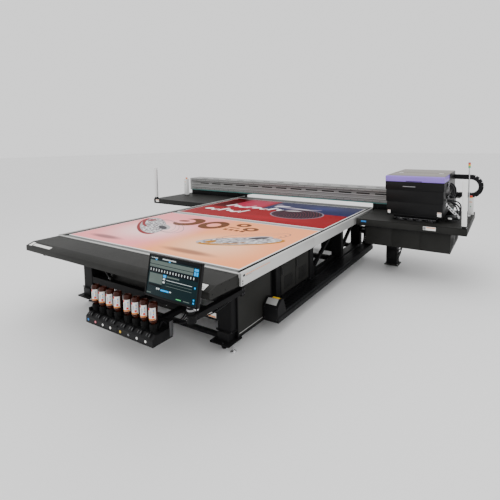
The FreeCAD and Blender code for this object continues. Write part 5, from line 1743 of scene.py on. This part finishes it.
def make_vacuum_hoses():
    """Two bowed hoses with their clamps."""
    parts = Parts()
    for y, top, low, out in ((72, 610, 370, 96), (102, 580, 400, 84)):
        parts.put("hose", bowed((-621, y, top), (-621, y, low), (-out, 0, 0), 8, 32))
        for z in (top, low):
            parts.put("ground", turned_part([(9, 0), (13, -1), (13, -12), (9, -14)], -619, y, z, "x", 18))
    dress("vacuum_hoses", "machine", parts, ("air_hoses",))


class PRINTER_OT_hoses(Maker, Operator):
    """Make the bowed vacuum hoses beside the service panel"""
    bl_idname = "printer.hoses"
    bl_label = "Vacuum hoses"
    makers = (make_vacuum_hoses,)


# ---- stage ----
CAMERA_PLACE = (3132.0, -2294.0, 1835.0)
CAMERA_YAW = 0.516
CAMERA_DIP = 0.074
CAMERA_ROLL = -0.008
CAMERA_SHIFT = (-0.10, -0.16)


def make_floor():
    """A wide pale floor."""
    half = 60.0
    data = bpy.data.meshes.new("floor")
    corners = [(-half, -half, 0), (half, -half, 0), (half, half, 0), (-half, half, 0)]
    data.from_pydata(corners, [], [[0, 1, 2, 3]])
    floor = bpy.data.objects.new("floor", data)
    bpy.context.scene.collection.objects.link(floor)
    nodes = Nodes("StudioFloor")
    pale = bpy.context.scene.printer_studio.floor
    nodes.base(nodes.mix(nodes.noise(0.8, 3.0), tone(pale, 0.985), pale))
    nodes.shader.inputs["Roughness"].default_value = 0.8
    data.materials.append(nodes.material)


def make_lights():
    """Pale surroundings, one large overhead panel, a broad front panel and a side fill."""
    world = bpy.data.worlds.new("Studio")
    world.use_nodes = True
    world.node_tree.nodes["Background"].inputs[0].default_value = (1, 1, 1, 1)
    world.node_tree.nodes["Background"].inputs[1].default_value = 1.25
    bpy.context.scene.world = world
    panels = (("overhead", at(0, 1500, 5500), at(0, 1500, 0), (6, 6), 120),
              ("front", at(-3500, -6000, 4000), at(0, 800, 600), (4, 3), 60),
              ("side", at(7000, -1500, 3000), at(800, 1500, 700), (3, 3), 60))
    for name, place, aim, size, power in panels:
        data = bpy.data.lights.new(name, "AREA")
        data.shape = "RECTANGLE"
        data.size, data.size_y = size
        data.energy = power
        lamp = bpy.data.objects.new(name, data)
        lamp.location = place
        lamp.rotation_euler = Vector(aim - place).to_track_quat("-Z", "Y").to_euler()
        bpy.context.scene.collection.objects.link(lamp)


def make_camera():
    """Camera at a standing person's eyes, right of the front corner."""
    data = bpy.data.cameras.new("camera")
    data.sensor_width = 36.0
    data.lens = bpy.context.scene.printer_studio.lens
    data.shift_x, data.shift_y = CAMERA_SHIFT
    data.clip_end = 200.0
    camera = bpy.data.objects.new("camera", data)
    ahead = Vector((-math.sin(CAMERA_YAW) * math.cos(CAMERA_DIP),
                    math.cos(CAMERA_YAW) * math.cos(CAMERA_DIP), -math.sin(CAMERA_DIP)))
    level = ahead.to_track_quat("-Z", "Y").to_matrix()
    camera.matrix_world = (Matrix.Translation(Vector(at(*CAMERA_PLACE)))
                           @ (level @ Matrix.Rotation(CAMERA_ROLL, 3, "Z")).to_4x4())
    bpy.context.scene.collection.objects.link(camera)
    bpy.context.scene.camera = camera


class PRINTER_OT_stage(Maker, Operator):
    """Make the floor, the soft lights and the camera"""
    bl_idname = "printer.stage"
    bl_label = "Stage"
    makers = (make_floor, make_lights, make_camera)


OPERATORS = (PRINTER_OT_stage, PRINTER_OT_frame_finishes, PRINTER_OT_boards, PRINTER_OT_table,
             PRINTER_OT_apron, PRINTER_OT_frame, PRINTER_OT_under_bed, PRINTER_OT_feet, PRINTER_OT_chains,
             PRINTER_OT_ink, PRINTER_OT_monitor, PRINTER_OT_beam, PRINTER_OT_carriage, PRINTER_OT_station,
             PRINTER_OT_switches, PRINTER_OT_hoses)
GROUPS = ((PRINTER_PG_paint, "printer_paint"), (PRINTER_PG_art, "printer_art"),
          (PRINTER_PG_detail, "printer_detail"), (PRINTER_PG_studio, "printer_studio"))


class PRINTER_PT_panel(Panel):
    """Buttons for every part of the printer's looks"""
    bl_idname = "PRINTER_PT_panel"
    bl_label = "Flatbed printer"
    bl_space_type = "VIEW_3D"
    bl_region_type = "UI"
    bl_category = "Printer"

    def draw(self, context):
        for operator in OPERATORS:
            self.layout.operator(operator.bl_idname)


def register():
    """Registers the settings, the operators and the panel."""
    for group, name in GROUPS:
        bpy.utils.register_class(group)
        setattr(bpy.types.Scene, name, PointerProperty(type=group))
    for operator in OPERATORS:
        bpy.utils.register_class(operator)
    bpy.utils.register_class(PRINTER_PT_panel)


def unregister():
    """Takes them away again."""
    bpy.utils.unregister_class(PRINTER_PT_panel)
    for operator in reversed(OPERATORS):
        bpy.utils.unregister_class(operator)
    for group, name in reversed(GROUPS):
        delattr(bpy.types.Scene, name)
        bpy.utils.unregister_class(group)


def main():
    """Runs every operator in order."""
    register()
    for operator in OPERATORS:
        section, name = operator.bl_idname.split(".")
        getattr(getattr(bpy.ops, section), name)()


if __name__ == "__main__":
    main()
